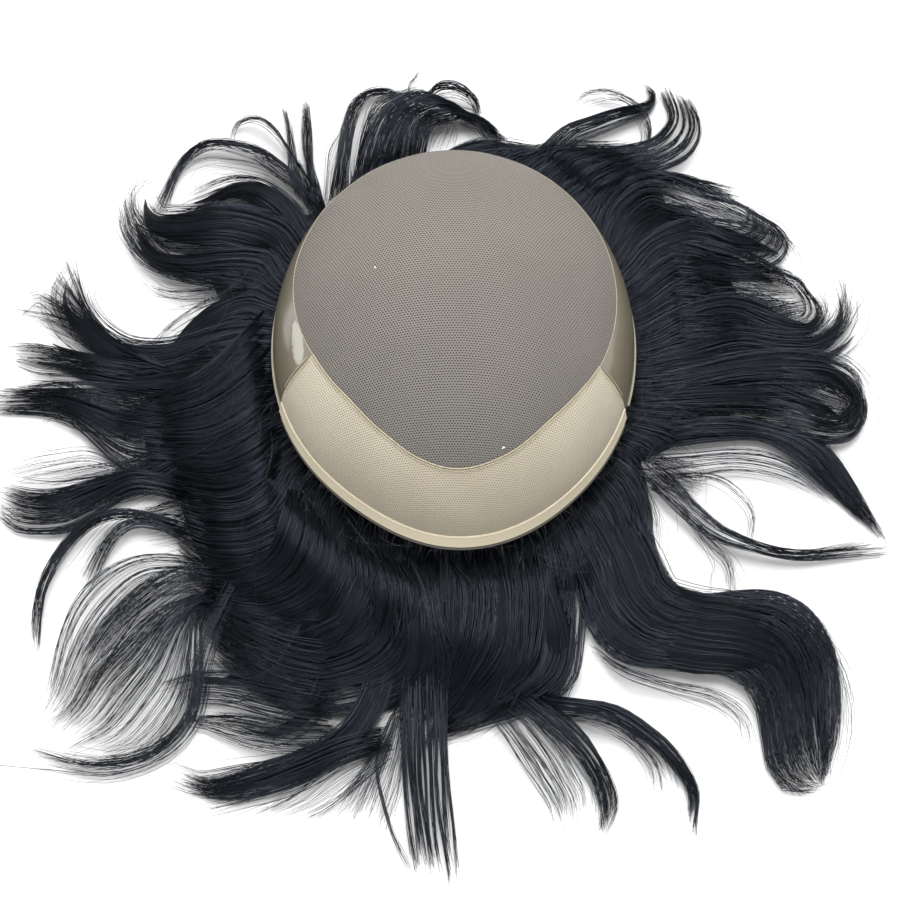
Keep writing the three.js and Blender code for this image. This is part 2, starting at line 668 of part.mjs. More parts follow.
// One lock: a flat-bottomed section carried along its path over the table
function lockBody(row) {
  const start = tablePlace(row.root, LOCK_START);
  const places = row.path.map(([direction, far]) => tablePlace(direction, far * HAIR_LENGTH));
  const curve = new THREE.CatmullRomCurve3([start, ...places], false, 'centripetal');
  const rootDepth = RIM_HEIGHT - LACE_EDGE_DROP - ROOT_CLEARANCE;
  const outline = row.width < THIN_LOCK_WIDTH ? THIN_LOCK_SECTION : LOCK_SECTION;
  const stations = Math.round(LOCK_STEPS_A_POINT * row.path.length);
  const sections = [];
  for (let station = 0; station <= stations; station += 1) {
    const share = station / stations;
    const centre = curve.getPoint(share);
    const side = new THREE.Vector3(0, 0, 1).cross(curve.getTangent(share));
    const fade = share ** 3;
    const swell = Math.min(1, 0.8 + 0.8 * share) * (1 - (1 - TIP_WIDTH_SHARE) * fade);
    const widest = TIGHTEST_BEND_SHARE * bendRadius(curve, share);
    const halfWidth = Math.min((row.width * HAIR_LENGTH * swell) / 2, widest);
    const settle = smooth(share / 0.5);
    const tipDepth = row.depth * HAIR_LENGTH * (1 - (1 - TIP_DEPTH_SHARE) * fade);
    const halfDepth = lerp(rootDepth, tipDepth, settle) / 2;
    const lift = row.lift * HAIR_LENGTH * Math.sin(Math.PI * share) ** 2;
    centre.z = halfDepth + lift * settle;
    const sink = LOCK_SINK * (1 - settle) + LOCK_SINK / 2;
    sections.push(outline.map(({ across, up }) => {
      const point = centre.clone().addScaledVector(side, across * halfWidth);
      point.z += up * halfDepth - sink;
      return point;
    }));
  }
  return loft(sections, false);
}

function toSolid(geometry) {
  return new manifold.Manifold(new manifold.Mesh({
    numProp: 3,
    vertProperties: new Float32Array(geometry.getAttribute('position').array),
    triVerts: new Uint32Array(geometry.getIndex().array),
  }));
}

function toGeometry(solid) {
  const mesh = solid.getMesh();
  const geometry = new THREE.BufferGeometry();
  geometry.setAttribute('position', new THREE.BufferAttribute(mesh.vertProperties, 3));
  geometry.setIndex(new THREE.BufferAttribute(mesh.triVerts, 1));
  geometry.computeVertexNormals();
  return geometry;
}

// All locks joined to the closed mass, and cut off level where they lie on the table
function hairLocks() {
  let hair = toSolid(hairMass());
  for (const row of LOCKS) {
    hair = hair.add(toSolid(lockBody(row)));
  }
  const spread = 2 * (2 * HAIR_LENGTH + RIM_WIDTH);
  const table = new THREE.BoxGeometry(spread, spread, RIM_HEIGHT);
  table.translate(0, 0, -RIM_HEIGHT / 2);
  table.deleteAttribute('normal');
  table.deleteAttribute('uv');
  return toGeometry(hair.subtract(toSolid(mergeVertices(table))));
}

function piece(name, geometry, finish) {
  const mesh = new THREE.Mesh(geometry, new THREE.MeshStandardMaterial(finish));
  mesh.name = name;
  return mesh;
}

const netFinish = { color: '#978f86', roughness: 0.75, metalness: 0 };
const skinFinish = { color: '#93897a', roughness: 0.3, metalness: 0 };
const laceFinish = { color: '#bdb29b', roughness: 0.85, metalness: 0 };
const hairFinish = { color: '#15181c', roughness: 0.4, metalness: 0 };

const cap = new THREE.Group();
cap.add(
  piece('crown_net', crownNet(), netFinish),
  piece('skin_band', skinBand(), skinFinish),
  piece('front_lace', frontLace(), laceFinish),
  piece('lace_hem', laceHem(), laceFinish),
  piece('lace_edge', laceEdge(), laceFinish),
  piece('crown_seam', crownSeam(), laceFinish),
  piece('left_join_seam', joinSeam(LEFT_JOIN), laceFinish),
  piece('right_join_seam', joinSeam(RIGHT_JOIN), laceFinish),
  piece('skin_edge', skinEdge(), skinFinish),
);

const hair = new THREE.Group();
hair.add(
  piece('crown_hair', crownHair(), hairFinish),
  piece('hair_locks', hairLocks(), hairFinish),
);

// The origin goes under the middle of the whole hairpiece
const hairpiece = new THREE.Group();
hairpiece.add(cap, hair);
const middle = new THREE.Box3().setFromObject(hairpiece).getCenter(new THREE.Vector3());
cap.position.set(-middle.x, -middle.y, 0);
hair.position.copy(cap.position);

export default hairpiece;
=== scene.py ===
"""Toupee hairpiece lying inside out on a pale table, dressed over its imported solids.

The cap of net, skin and lace stands dome up with its scalp side outwards. Its hair
comes out from under the rim and fans out over the table. Sizes are millimetres and
angles are degrees until a mesh is made, and the front of the cap faces -Y.
"""

import logging
import math
from collections.abc import Callable, Sequence
from dataclasses import dataclass, field
from enum import Enum

import bpy
import numpy as np
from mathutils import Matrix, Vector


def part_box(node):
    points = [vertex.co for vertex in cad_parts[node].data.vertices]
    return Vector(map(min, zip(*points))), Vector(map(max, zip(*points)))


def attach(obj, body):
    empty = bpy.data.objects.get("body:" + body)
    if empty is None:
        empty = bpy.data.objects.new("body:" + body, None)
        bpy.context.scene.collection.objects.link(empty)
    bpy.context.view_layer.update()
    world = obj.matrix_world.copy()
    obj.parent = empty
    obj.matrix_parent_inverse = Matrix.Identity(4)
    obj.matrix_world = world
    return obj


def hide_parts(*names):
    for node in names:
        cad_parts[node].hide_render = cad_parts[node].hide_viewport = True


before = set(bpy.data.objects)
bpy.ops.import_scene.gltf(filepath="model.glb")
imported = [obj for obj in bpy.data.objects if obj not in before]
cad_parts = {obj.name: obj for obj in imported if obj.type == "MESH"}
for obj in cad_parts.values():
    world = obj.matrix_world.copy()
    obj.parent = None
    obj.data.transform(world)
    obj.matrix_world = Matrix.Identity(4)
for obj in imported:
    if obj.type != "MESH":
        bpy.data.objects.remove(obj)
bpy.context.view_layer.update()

log = logging.getLogger("hairpiece")

MM = 0.001
SEED = 4093

Array = np.ndarray
Place = Callable[[Array, Array], tuple[Array, Array]]


def linear(code: str) -> tuple[float, float, float, float]:
    """Turn an sRGB hex colour into linear values.

    Args:
        code: Six hex digits after a hash sign.

    Returns:
        Linear red, green, blue and a full alpha.
    """
    shares = [int(code[place:place + 2], 16) / 255 for place in (1, 3, 5)]
    values = [v / 12.92 if v <= 0.04045 else ((v + 0.055) / 1.055) ** 2.4 for v in shares]
    return (*values, 1.0)


def add(tree: bpy.types.NodeTree, kind: str, inputs: dict | None = None,
        **settings: object) -> bpy.types.Node:
    """Add a node with its settings, and set or link its inputs.

    Args:
        tree: The material's or world's node tree.
        kind: The node's type name.
        inputs: Socket name or number to a value, or to the output linked into it.
        **settings: The node's own properties.

    Returns:
        The new node.
    """
    node = tree.nodes.new(kind)
    for name, value in settings.items():
        setattr(node, name, value)
    for socket, value in (inputs or {}).items():
        if isinstance(value, bpy.types.NodeSocket):
            tree.links.new(value, node.inputs[socket])
        else:
            node.inputs[socket].default_value = value
    return node


def new_material(name: str) -> tuple[bpy.types.Material, bpy.types.NodeTree]:
    """Make an empty node material of that name, and return it with its node tree.

    Args:
        name: The material's name.

    Returns:
        The material and its node tree.
    """
    material = bpy.data.materials.new(name)
    material.use_nodes = True
    material.node_tree.nodes.clear()
    return material, material.node_tree


def surface(tree: bpy.types.NodeTree, inputs: dict) -> None:
    """End a material's tree in one principled surface with these inputs."""
    shader = add(tree, "ShaderNodeBsdfPrincipled", inputs)
    add(tree, "ShaderNodeOutputMaterial", {"Surface": shader.outputs[0]})


def smooth(value: Array) -> Array:
    """Ease a share from 0 to 1, flat at both ends."""
    share = np.clip(value, 0, 1)
    return share * share * (3 - 2 * share)


def smooth_path(points: Array, count: int, is_loop: bool = False) -> Array:
    """Run one smooth curve through points.

    Args:
        points: The points that it passes, one a row.
        count: How many points to return.
        is_loop: Whether the curve closes on itself.

    Returns:
        Points evenly spaced along the curve.
    """
    if is_loop:
        points = np.vstack([points[-3:], points, points[:3]])
    steps = np.linalg.norm(np.diff(points, axis=0), axis=1)
    knots = np.concatenate([[0.0], np.cumsum(np.sqrt(np.maximum(steps, 1e-9)))])
    slopes = np.gradient(points, knots, axis=0)
    first, last = (knots[3], knots[-3]) if is_loop else (0.0, knots[-1])
    at = np.linspace(first, last, count * 6)
    part = np.clip(np.searchsorted(knots, at, side="right") - 1, 0, len(knots) - 2)
    span = (knots[part + 1] - knots[part])[:, None]
    t = (at - knots[part])[:, None] / span
    fine = ((2 * t**3 - 3 * t**2 + 1) * points[part]
            + (t**3 - 2 * t**2 + t) * span * slopes[part]
            + (3 * t**2 - 2 * t**3) * points[part + 1]
            + (t**3 - t**2) * span * slopes[part + 1])
    gone = np.concatenate([[0.0], np.cumsum(np.linalg.norm(np.diff(fine, axis=0), axis=1))])
    even = np.linspace(0, gone[-1], count)
    return np.stack([np.interp(even, gone, column) for column in fine.T], axis=1)


@dataclass(frozen=True)
class Dent:
    """A dent or bulge of the cap: its place, its spread, and its push as a share."""

    at: float
    up: float
    wide: float
    tall: float
    push: float


@dataclass(frozen=True)
class Join:
    """Where lace gives way to skin: its angle at the rim and at the crown seam."""

    rim: float
    seam: float


SEAM_ROWS = (
    (-176, 34), (-158, 39), (-137, 41.9), (-118, 40.3), (-104, 37.6), (-90, 35.9),
    (-72, 37.2), (-52, 39.4), (-36, 38), (-20, 34.4), (-5, 31.4), (14, 28.4),
    (48, 24.5), (90, 22), (132, 24.5), (164, 28.6),
)


@dataclass(frozen=True)
class CapForm:
    """The outer face of the cap, which every cloth and trim on it follows."""

    centre: tuple[float, float]
    rim_width: float = 149.4
    front_reach: float = 90
    back_reach: float = 85
    rise: float = 66
    rim_height: float = 16
    fullness: float = 0.92
    left_join: Join = Join(-161, -159)
    right_join: Join = Join(-21, -23)
    dents: tuple[Dent, ...] = (
        Dent(-122, 0, 26, 46, -0.024),
        Dent(-52, 0, 20, 40, -0.006),
        Dent(130, 40, 5, 9, -0.012),
        Dent(141, 38, 5, 9, 0.01),
    )

    def face(self, at: Array, up: Array) -> Array:
        """Give points of the outer face.

        Args:
            at: Angles round the cap, from the right-hand side.
            up: Angles up from the rim.

        Returns:
            One point a row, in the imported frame.
        """
        at, up = np.broadcast_arrays(np.asarray(at, float), np.asarray(up, float))
        around, climb = np.radians(at), np.radians(np.minimum(up, 90))
        reach = np.where(np.sin(around) < 0, self.front_reach, self.back_reach)
        inward = np.maximum(np.cos(climb), 1e-9) ** self.fullness
        push = np.zeros(at.shape)
        for dent in self.dents:
            across = ((at - dent.at + 180) % 360 - 180) / dent.wide
            along = (up - dent.up) / dent.tall
            push += dent.push * self.rim_width * np.exp(-(across**2 + along**2))
        push *= inward
        return np.stack([
            np.cos(around) * (self.rim_width / 2 * inward + push) + self.centre[0],
            np.sin(around) * (reach * inward + push) + self.centre[1],
            self.rim_height + self.rise * np.sin(climb),
        ], axis=-1)

    def point(self, at: Array, up: Array, out: Array = 0.0) -> Array:
        """Give points that stand a distance out from the cap's face.

        Args:
            at: Angles round the cap.
            up: Angles up from the rim.
            out: Distances out from the face.

        Returns:
            One point a row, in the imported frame.
        """
        low = np.clip(np.asarray(up, float), 0, 89)
        around = self.face(np.asarray(at, float) + 0.4, low) - self.face(
            np.asarray(at, float) - 0.4, low)
        upward = self.face(at, low + 0.4) - self.face(at, low)
        normal = np.cross(around, upward)
        normal /= np.linalg.norm(normal, axis=-1, keepdims=True)
        return self.face(at, up) + normal * np.asarray(out, float)[..., None]

    def degrees_up(self, at: Array, up: Array, length: Array) -> Array:
        """Give the angle that a length up the cap spans at a place."""
        step = np.linalg.norm(self.face(at, np.asarray(up) + 0.5) - self.face(at, up), axis=-1)
        return np.asarray(length) * 0.5 / step

    def seam_up(self, at: Array) -> Array:
        """Give the crown seam's angle up from the rim, all round the cap.

        Args:
            at: Angles round the cap.

        Returns:
            Angles up from the rim.
        """
        rows = np.array(SEAM_ROWS, float)
        turn = np.radians(rows[:, 0])
        loop = smooth_path(np.stack([rows[:, 1] * np.cos(turn), rows[:, 1] * np.sin(turn)], 1),
                           400, is_loop=True)
        angles = np.degrees(np.arctan2(loop[:, 1], loop[:, 0]))
        return np.interp(at, angles, np.hypot(loop[:, 0], loop[:, 1]), period=360)

    def spread(self, at: Array, up: Array) -> Array:
        """Lay the dome out flat round its top.

        Args:
            at: Angles round the cap.
            up: Angles up from the rim.

        Returns:
            Flat places in millimetres, measured over the curve, one a row.
        """
        at, up = np.broadcast_arrays(np.asarray(at, float), np.asarray(up, float))
        steps = np.linspace(0, 1, 25)[:, None]
        climb = self.face(at[None, :], up[None, :] + (90 - up[None, :]) * steps)
        arc = np.linalg.norm(np.diff(climb, axis=0), axis=-1).sum(axis=0)
        foot = self.face(at, up)
        turn = np.arctan2(foot[:, 1] - self.centre[1], foot[:, 0] - self.centre[0])
        turn = np.where(up > 89.9, np.radians(at), turn)
        return np.stack([arc * np.cos(turn), arc * np.sin(turn)], axis=-1)

    def table_place(self, direction: Array, past: Array) -> Array:
        """Give points on the table, in a true direction and a distance past the rim.

        Args:
            direction: True directions from the cap's middle.
            past: Distances past the rim.

        Returns:
            One point a row, at table height.
        """
        around = np.radians(np.asarray(direction, float))
        reach = np.where(np.sin(around) < 0, self.front_reach, self.back_reach)
        turn = np.arctan2(np.sin(around) / reach, np.cos(around) / (self.rim_width / 2))
        rim = self.face(np.degrees(turn), 0.0) - np.array([*self.centre, 0.0])
        rim[..., 2] = 0
        long = np.linalg.norm(rim, axis=-1)
        scale = 1 + np.asarray(past, float) / long
        return rim * scale[..., None] + np.array([*self.centre, 0.0])


class MeshMaker:
    """Makes meshes from primitives that are laid over a shape, and from swept sections."""

    @staticmethod
    def start(name: str, primitive: Callable[..., object], **settings: object) -> bpy.types.Object:
        """Add one primitive with nothing else selected, and name it.

        Args:
            name: The piece's name.
            primitive: The operator that adds it.
            **settings: What the operator is given.

        Returns:
            The new piece.
        """
        bpy.ops.object.select_all(action="DESELECT")
        primitive(**settings)
        piece = bpy.context.object
        piece.name = piece.data.name = name
        return piece

    @staticmethod
    def corners(mesh: bpy.types.Mesh) -> Array:
        """Read a mesh's vertices, one a row.

        Args:
            mesh: The mesh.

        Returns:
            Their places in metres.
        """
        places = np.zeros(len(mesh.vertices) * 3)
        mesh.vertices.foreach_get("co", places)
        return places.reshape(-1, 3)

    @staticmethod
    def set_flat(mesh: bpy.types.Mesh, flat: Array) -> None:
        """Give a mesh a UV map in metres from one flat place a vertex, in millimetres.

        Args:
            mesh: The mesh.
            flat: One flat place for each vertex.
        """
        layer = mesh.uv_layers.active or mesh.uv_layers.new(name="flat")
        ends = np.zeros(len(mesh.loops), dtype=np.int32)
        mesh.loops.foreach_get("vertex_index", ends)
        layer.data.foreach_set("uv", (flat[ends] * MM).ravel())

    @classmethod
    def grid(cls, name: str, across: int, along: int, place: Place,
             is_closed: bool = False) -> bpy.types.Object:
        """Lay a flat grid over a shape.

        Args:
            name: The piece's name.
            across: Cells across the grid.
            along: Cells along the grid.
            place: Gives points and flat places for shares across and along.
            is_closed: Whether the grid's first and last columns meet.

        Returns:
            The piece, with a UV map of its flat places.
        """
        piece = cls.start(name, bpy.ops.mesh.primitive_grid_add, x_subdivisions=across,
                          y_subdivisions=along, size=2)
        shares = (cls.corners(piece.data)[:, :2] + 1) / 2
        points, flat = place(shares[:, 0], shares[:, 1])
        piece.data.vertices.foreach_set("co", (points * MM).ravel())
        cls.set_flat(piece.data, flat)
        if is_closed:
            bpy.ops.object.mode_set(mode="EDIT")
            bpy.ops.mesh.select_all(action="SELECT")
            bpy.ops.mesh.remove_doubles(threshold=0.00001)
            bpy.ops.object.mode_set(mode="OBJECT")
        piece.data.update()
        return piece

    @classmethod
    def dome(cls, name: str, segments: int, rings: int, place: Place) -> bpy.types.Object:
        """Lay the upper half of a ball over the cap.

        Args:
            name: The piece's name.
            segments: Faces round the ball.
            rings: Rings of the whole ball, an even number.
            place: Gives points and flat places for angles round and shares up.

        Returns:
            The piece, with a UV map of its flat places.
        """
        piece = cls.start(name, bpy.ops.mesh.primitive_uv_sphere_add, segments=segments,
                          ring_count=rings, radius=1)
        ball = cls.corners(piece.data)
        bpy.ops.object.mode_set(mode="EDIT")
        bpy.ops.mesh.select_mode(type="VERT")
        bpy.ops.object.mode_set(mode="OBJECT")
        for part in (piece.data.edges, piece.data.polygons):
            part.foreach_set("select", np.zeros(len(part), dtype=bool))
        piece.data.vertices.foreach_set("select", ball[:, 2] < -1e-4)
        bpy.ops.object.mode_set(mode="EDIT")
        bpy.ops.mesh.delete(type="VERT")
        bpy.ops.object.mode_set(mode="OBJECT")
        ball = cls.corners(piece.data)
        at = np.degrees(np.arctan2(ball[:, 1], ball[:, 0]))
        share = np.degrees(np.arcsin(np.clip(ball[:, 2], 0, 1))) / 90
        points, flat = place(at, share)
        piece.data.vertices.foreach_set("co", (points * MM).ravel())
        cls.set_flat(piece.data, flat)
        piece.data.update()
        return piece

    @staticmethod
    def thicken(piece: bpy.types.Object, wall: float) -> None:
        """Give a cloth its wall, grown inwards from the face that was laid.

        Args:
            piece: The cloth.
            wall: Its thickness.
        """
        bpy.context.view_layer.objects.active = piece
        modifier = piece.modifiers.new("wall", "SOLIDIFY")
        modifier.thickness = wall * MM
        modifier.offset = -1
        modifier.use_even_offset = True
        bpy.ops.object.modifier_apply(modifier=modifier.name)

    @staticmethod
    def soften(piece: bpy.types.Object, angle: float = 50) -> None:
        """Shade a piece smooth where its faces meet at less than an angle.

        Args:
            piece: The piece.
            angle: The angle past which an edge stays sharp.
        """
        bpy.ops.object.select_all(action="DESELECT")
        piece.select_set(True)
        bpy.context.view_layer.objects.active = piece
        bpy.ops.object.shade_smooth_by_angle(angle=math.radians(angle))

    @classmethod
    def thread(cls, name: str, lines: Sequence[Array], radius: float,
               is_loop: bool = False) -> bpy.types.Object:
        """Sweep round thread along lines of points, and make it a mesh.

        Args:
            name: The piece's name.
            lines: One array of points for each thread.
            radius: The thread's radius.
            is_loop: Whether each thread closes on itself.

        Returns:
            The joined threads.
        """
        curve = bpy.data.curves.new(name, "CURVE")
        curve.dimensions = "3D"
        curve.bevel_depth = radius * MM
        curve.bevel_resolution = 1
        curve.use_fill_caps = True
        for line in lines:
            spline = curve.splines.new("POLY")
            spline.points.add(len(line) - 1)
            places = np.column_stack([line * MM, np.ones(len(line))])
            spline.points.foreach_set("co", places.ravel())
            spline.use_cyclic_u = is_loop
        piece = bpy.data.objects.new(name, curve)
        bpy.context.scene.collection.objects.link(piece)
        bpy.ops.object.select_all(action="DESELECT")
        piece.select_set(True)
        bpy.context.view_layer.objects.active = piece
        bpy.ops.object.convert(target="MESH")
        piece = bpy.context.object
        piece.name = piece.data.name = name
        cls.soften(piece, 60)
        return piece

    @classmethod
    def sweep(cls, name: str, sections: Array, flat: Array, tone: Array) -> bpy.types.Object:
        """Join many closed sweeps into one mesh.

        Args:
            name: The piece's name.
            sections: Points by sweep, station and corner of the section.
            flat: Flat places of the same shape, in millimetres.
            tone: One value a sweep, kept as the attribute tone.

        Returns:
            The joined piece, shaded smooth.
        """
        sweeps, stations, corners, _ = sections.shape
        ring = np.arange(corners)
        here = (np.arange(stations - 1)[:, None] * corners + ring)[..., None]
        beside = (np.arange(stations - 1)[:, None] * corners + (ring + 1) % corners)[..., None]
        walls = np.concatenate([
            np.concatenate([here, beside, beside + corners], -1).reshape(-1, 3),
            np.concatenate([here, beside + corners, here + corners], -1).reshape(-1, 3),
        ])
        fan = np.stack([np.zeros(corners - 2, int), ring[2:], ring[1:-1]], 1)
        end = fan[:, ::-1] + (stations - 1) * corners
        one = np.concatenate([walls, fan, end])
        shift = np.arange(sweeps)[:, None, None] * (stations * corners)
        faces = (one[None] + shift).reshape(-1, 3)
        mesh = bpy.data.meshes.new(name)
        mesh.vertices.add(sweeps * stations * corners)
        mesh.vertices.foreach_set("co", (sections * MM).astype(np.float32).ravel())
        mesh.loops.add(faces.size)
        mesh.loops.foreach_set("vertex_index", faces.astype(np.int32).ravel())
        mesh.polygons.add(len(faces))
        mesh.polygons.foreach_set("loop_start", np.arange(0, faces.size, 3, dtype=np.int32))
        mesh.polygons.foreach_set("use_smooth", np.ones(len(faces), dtype=bool))
        mesh.update(calc_edges=True)
        cls.set_flat(mesh, flat.reshape(-1, 2))
        shades = mesh.attributes.new("tone", "FLOAT", "POINT")
        shades.data.foreach_set("value", np.repeat(tone, stations * corners).astype(np.float32))
        piece = bpy.data.objects.new(name, mesh)
        bpy.context.scene.collection.objects.link(piece)
        return piece


@dataclass(frozen=True)
class WovenFinish:
    """Matte cloth of fine yarn with rows of small holes, each row offset from the last."""

    name: str
    yarn: str
    yarn_far: str
    hole: str
    hole_deep: str
    pitch: float
    row: float
    yarn_width: float
    roughness: float
    far_low: float
    far_high: float
    relief: float

    def material(self) -> bpy.types.Material:
        """Build the cloth: brick rows for holes, noise for uneven yarn, painted shade front to
        back.

        Returns:
            The material.
        """
        material, tree = new_material(self.name)
        flat = add(tree, "ShaderNodeUVMap", uv_map="").outputs[0]
        place = add(tree, "ShaderNodeTexCoord").outputs["Object"]
        # Yarns wander by a tenth of a millimetre, as in any soft cloth
        wander = add(tree, "ShaderNodeTexNoise", {"Vector": flat, "Scale": 260.0, "Detail": 1.0})
        shift = add(tree, "ShaderNodeVectorMath", {0: wander.outputs["Color"],
                    1: (0.00042, 0.00042, 0.0)}, operation="MULTIPLY")
        moved = add(tree, "ShaderNodeVectorMath", {0: flat, 1: shift.outputs[0]}, operation="ADD")
        holes = add(tree, "ShaderNodeTexBrick", {
            "Vector": moved.outputs[0], "Scale": 1000.0, "Mortar Size": self.yarn_width,
            "Mortar Smooth": 0.9, "Bias": 0.0, "Brick Width": self.pitch,
            "Row Height": self.row, "Color1": linear(self.hole),
            "Color2": linear(self.hole_deep), "Mortar": (1.0, 1.0, 1.0, 1.0),
        }, offset=0.5)
        # Painted shade and light: yarn darker at the front of the net and lace, lighter at the
        # back, broken by noise patches
        front = add(tree, "ShaderNodeSeparateXYZ", {0: place}).outputs["Y"]
        far = add(tree, "ShaderNodeMapRange", {"Value": front, "From Min": self.far_low * MM,
                  "From Max": self.far_high * MM})
        blotch = add(tree, "ShaderNodeTexNoise", {"Vector": place, "Scale": 34.0, "Detail": 3.0})
        patchy = add(tree, "ShaderNodeMath", {0: blotch.outputs["Fac"], 1: 0.7},
                     operation="MULTIPLY_ADD")
        patchy.inputs[2].default_value = -0.35
        along = add(tree, "ShaderNodeMath", {0: far.outputs[0], 1: patchy.outputs[0]},
                    operation="ADD", use_clamp=True)
        yarn = add(tree, "ShaderNodeMix", {"Factor": along.outputs[0], 6: linear(self.yarn),
                   7: linear(self.yarn_far)}, data_type="RGBA")
        colour = add(tree, "ShaderNodeMix", {"Factor": holes.outputs["Fac"],
                     6: holes.outputs["Color"], 7: yarn.outputs[2]}, data_type="RGBA")
        bump = add(tree, "ShaderNodeBump", {"Height": holes.outputs["Fac"],
                   "Strength": self.relief, "Distance": 0.0002})
        surface(tree, {"Base Color": colour.outputs[2], "Roughness": self.roughness,
                       "Specular IOR Level": 0.3, "Normal": bump.outputs[0]})
        return material


@dataclass(frozen=True)
class FilmFinish:
    """Thin polyurethane film cast over dark hair knots: a smooth, glossy, cloudy skin."""

    name: str = "cast_polyurethane_skin"
    cloudy: str = "#867e6c"
    thin: str = "#716958"
    # The painted highlight: its pale colour, its middle and its size
    painted_glare: str = "#b4b1a3"
    spot: tuple[float, float, float] = (0.0, 0.0, 0.0)
    glare_size: tuple[float, float, float] = (4.2, 12.0, 5.0)
    roughness: float = 0.34
    index: float = 1.49

    def material(self) -> bpy.types.Material:
        """Build the film, cloudy in patches, with a painted highlight of glare at one join.

        Returns:
            The material.
        """
        material, tree = new_material(self.name)
        place = add(tree, "ShaderNodeTexCoord").outputs["Object"]
        cloud = add(tree, "ShaderNodeTexNoise", {"Vector": place, "Scale": 42.0, "Detail": 4.0,
                    "Roughness": 0.6})
        body = add(tree, "ShaderNodeMix", {"Factor": cloud.outputs["Fac"],
                   6: linear(self.thin), 7: linear(self.cloudy)}, data_type="RGBA")
        # Knots of hair under the film show as faint specks about 1.5 mm apart
        knots = add(tree, "ShaderNodeTexVoronoi", {"Vector": place, "Scale": 650.0})
        speck = add(tree, "ShaderNodeMapRange", {"Value": knots.outputs["Distance"],
                    "From Min": 0.12, "From Max": 0.34, "To Min": 0.9, "To Max": 1.0})
        dotted = add(tree, "ShaderNodeMix", {"Factor": 1.0, 6: body.outputs[2],
                     7: speck.outputs[0]}, data_type="RGBA", blend_type="MULTIPLY")
        # Painted highlight: a pale, ragged spot near the left join stands in for a lamp's glare on
        # the film
        size = tuple(1 / (value * MM) for value in self.glare_size)
        from_spot = add(tree, "ShaderNodeMapping", {"Vector": place, "Scale": size,
                        "Location": tuple(-a / b for a, b in zip(self.spot, self.glare_size))})
        away = add(tree, "ShaderNodeVectorMath", {0: from_spot.outputs[0]}, operation="LENGTH")
        ragged = add(tree, "ShaderNodeTexNoise", {"Vector": place, "Scale": 480.0, "Detail": 2.0})
        edge = add(tree, "ShaderNodeMath", {0: ragged.outputs["Fac"], 1: 0.7,
                   2: away.outputs["Value"]}, operation="MULTIPLY_ADD")
        glare_mask = add(tree, "ShaderNodeMapRange", {"Value": edge.outputs[0], "From Min": 1.3,
                    "From Max": 1.12})
        film = add(tree, "ShaderNodeMix", {"Factor": glare_mask.outputs[0], 6: dotted.outputs[2],
                   7: linear(self.painted_glare)}, data_type="RGBA")
        swell = add(tree, "ShaderNodeTexNoise", {"Vector": place, "Scale": 55.0, "Detail": 2.0})
        bump = add(tree, "ShaderNodeBump", {"Height": swell.outputs["Fac"], "Strength": 0.35,
                   "Distance": 0.0012})
        surface(tree, {"Base Color": film.outputs[2], "Roughness": self.roughness,
                       "IOR": self.index, "Coat Weight": 0.6, "Coat Roughness": 0.12,
                       "Normal": bump.outputs[0]})
        return material


@dataclass(frozen=True)
class ThreadFinish:
    """Spun polyester thread: pale, matte, with a fine twist."""

    name: str
    pale: str
    shade: str
    twist: float = 900.0

    def material(self) -> bpy.types.Material:
        """Build the thread with its twist as a fine change of shade and height.

        Returns:
            The material.
        """
        material, tree = new_material(self.name)
        place = add(tree, "ShaderNodeTexCoord").outputs["Object"]
        twist = add(tree, "ShaderNodeTexNoise", {"Vector": place, "Scale": self.twist,
                    "Detail": 2.0})
        colour = add(tree, "ShaderNodeMix", {"Factor": twist.outputs["Fac"],
                     6: linear(self.shade), 7: linear(self.pale)}, data_type="RGBA")
        bump = add(tree, "ShaderNodeBump", {"Height": twist.outputs["Fac"], "Strength": 0.4,
                   "Distance": 0.0002})
        surface(tree, {"Base Color": colour.outputs[2], "Roughness": 0.7,
                       "Specular IOR Level": 0.3, "Normal": bump.outputs[0]})
        return material


@dataclass(frozen=True)
class StrandFinish:
    """Human hair dyed blue-black: dark keratin with a cool, narrow sheen along each hair."""

    name: str = "dyed_black_hair"
    dark: str = "#020304"
    light: str = "#272d34"
    roughness: float = 0.25
    index: float = 1.55

    def material(self) -> bpy.types.Material:
        """Build single hairs, a little lighter or darker by their tone.

        Returns:
            The material.
        """
        material, tree = new_material(self.name)
        tone = add(tree, "ShaderNodeAttribute", attribute_name="tone").outputs["Fac"]
        colour = add(tree, "ShaderNodeMix", {"Factor": tone, 6: linear(self.dark),
                     7: linear(self.light)}, data_type="RGBA")
        surface(tree, {"Base Color": colour.outputs[2], "Roughness": self.roughness,
                       "IOR": self.index, "Specular IOR Level": 0.44,
                       "Specular Tint": linear("#d2def6")})
        return material


@dataclass(frozen=True)
class BundleFinish:
    """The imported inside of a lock: hair seen as fine streaks that run along it."""

    name: str = "packed_black_hair"
    dark: str = "#020203"
    light: str = "#0e1014"
    streak: float = 0.35

    def material(self) -> bpy.types.Material:
        """Build the streaks from noise drawn out along the lock's own length.

        Returns:
            The material.
        """
        material, tree = new_material(self.name)
        flat = add(tree, "ShaderNodeUVMap", uv_map="").outputs[0]
        drawn = add(tree, "ShaderNodeMapping", {"Vector": flat,
                    "Scale": (1000 / self.streak, 18.0, 1.0)})
        streaks = add(tree, "ShaderNodeTexNoise", {"Vector": drawn.outputs[0], "Scale": 1.0,
                      "Detail": 3.0, "Roughness": 0.6})
        colour = add(tree, "ShaderNodeMix", {"Factor": streaks.outputs["Fac"],
                     6: linear(self.dark), 7: linear(self.light)}, data_type="RGBA")
        bump = add(tree, "ShaderNodeBump", {"Height": streaks.outputs["Fac"], "Strength": 0.8,
                   "Distance": 0.0006})
        surface(tree, {"Base Color": colour.outputs[2], "Roughness": 0.4, "IOR": 1.55,
                       "Specular IOR Level": 0.2, "Specular Tint": linear("#d2def6"),
                       "Normal": bump.outputs[0]})
        return material


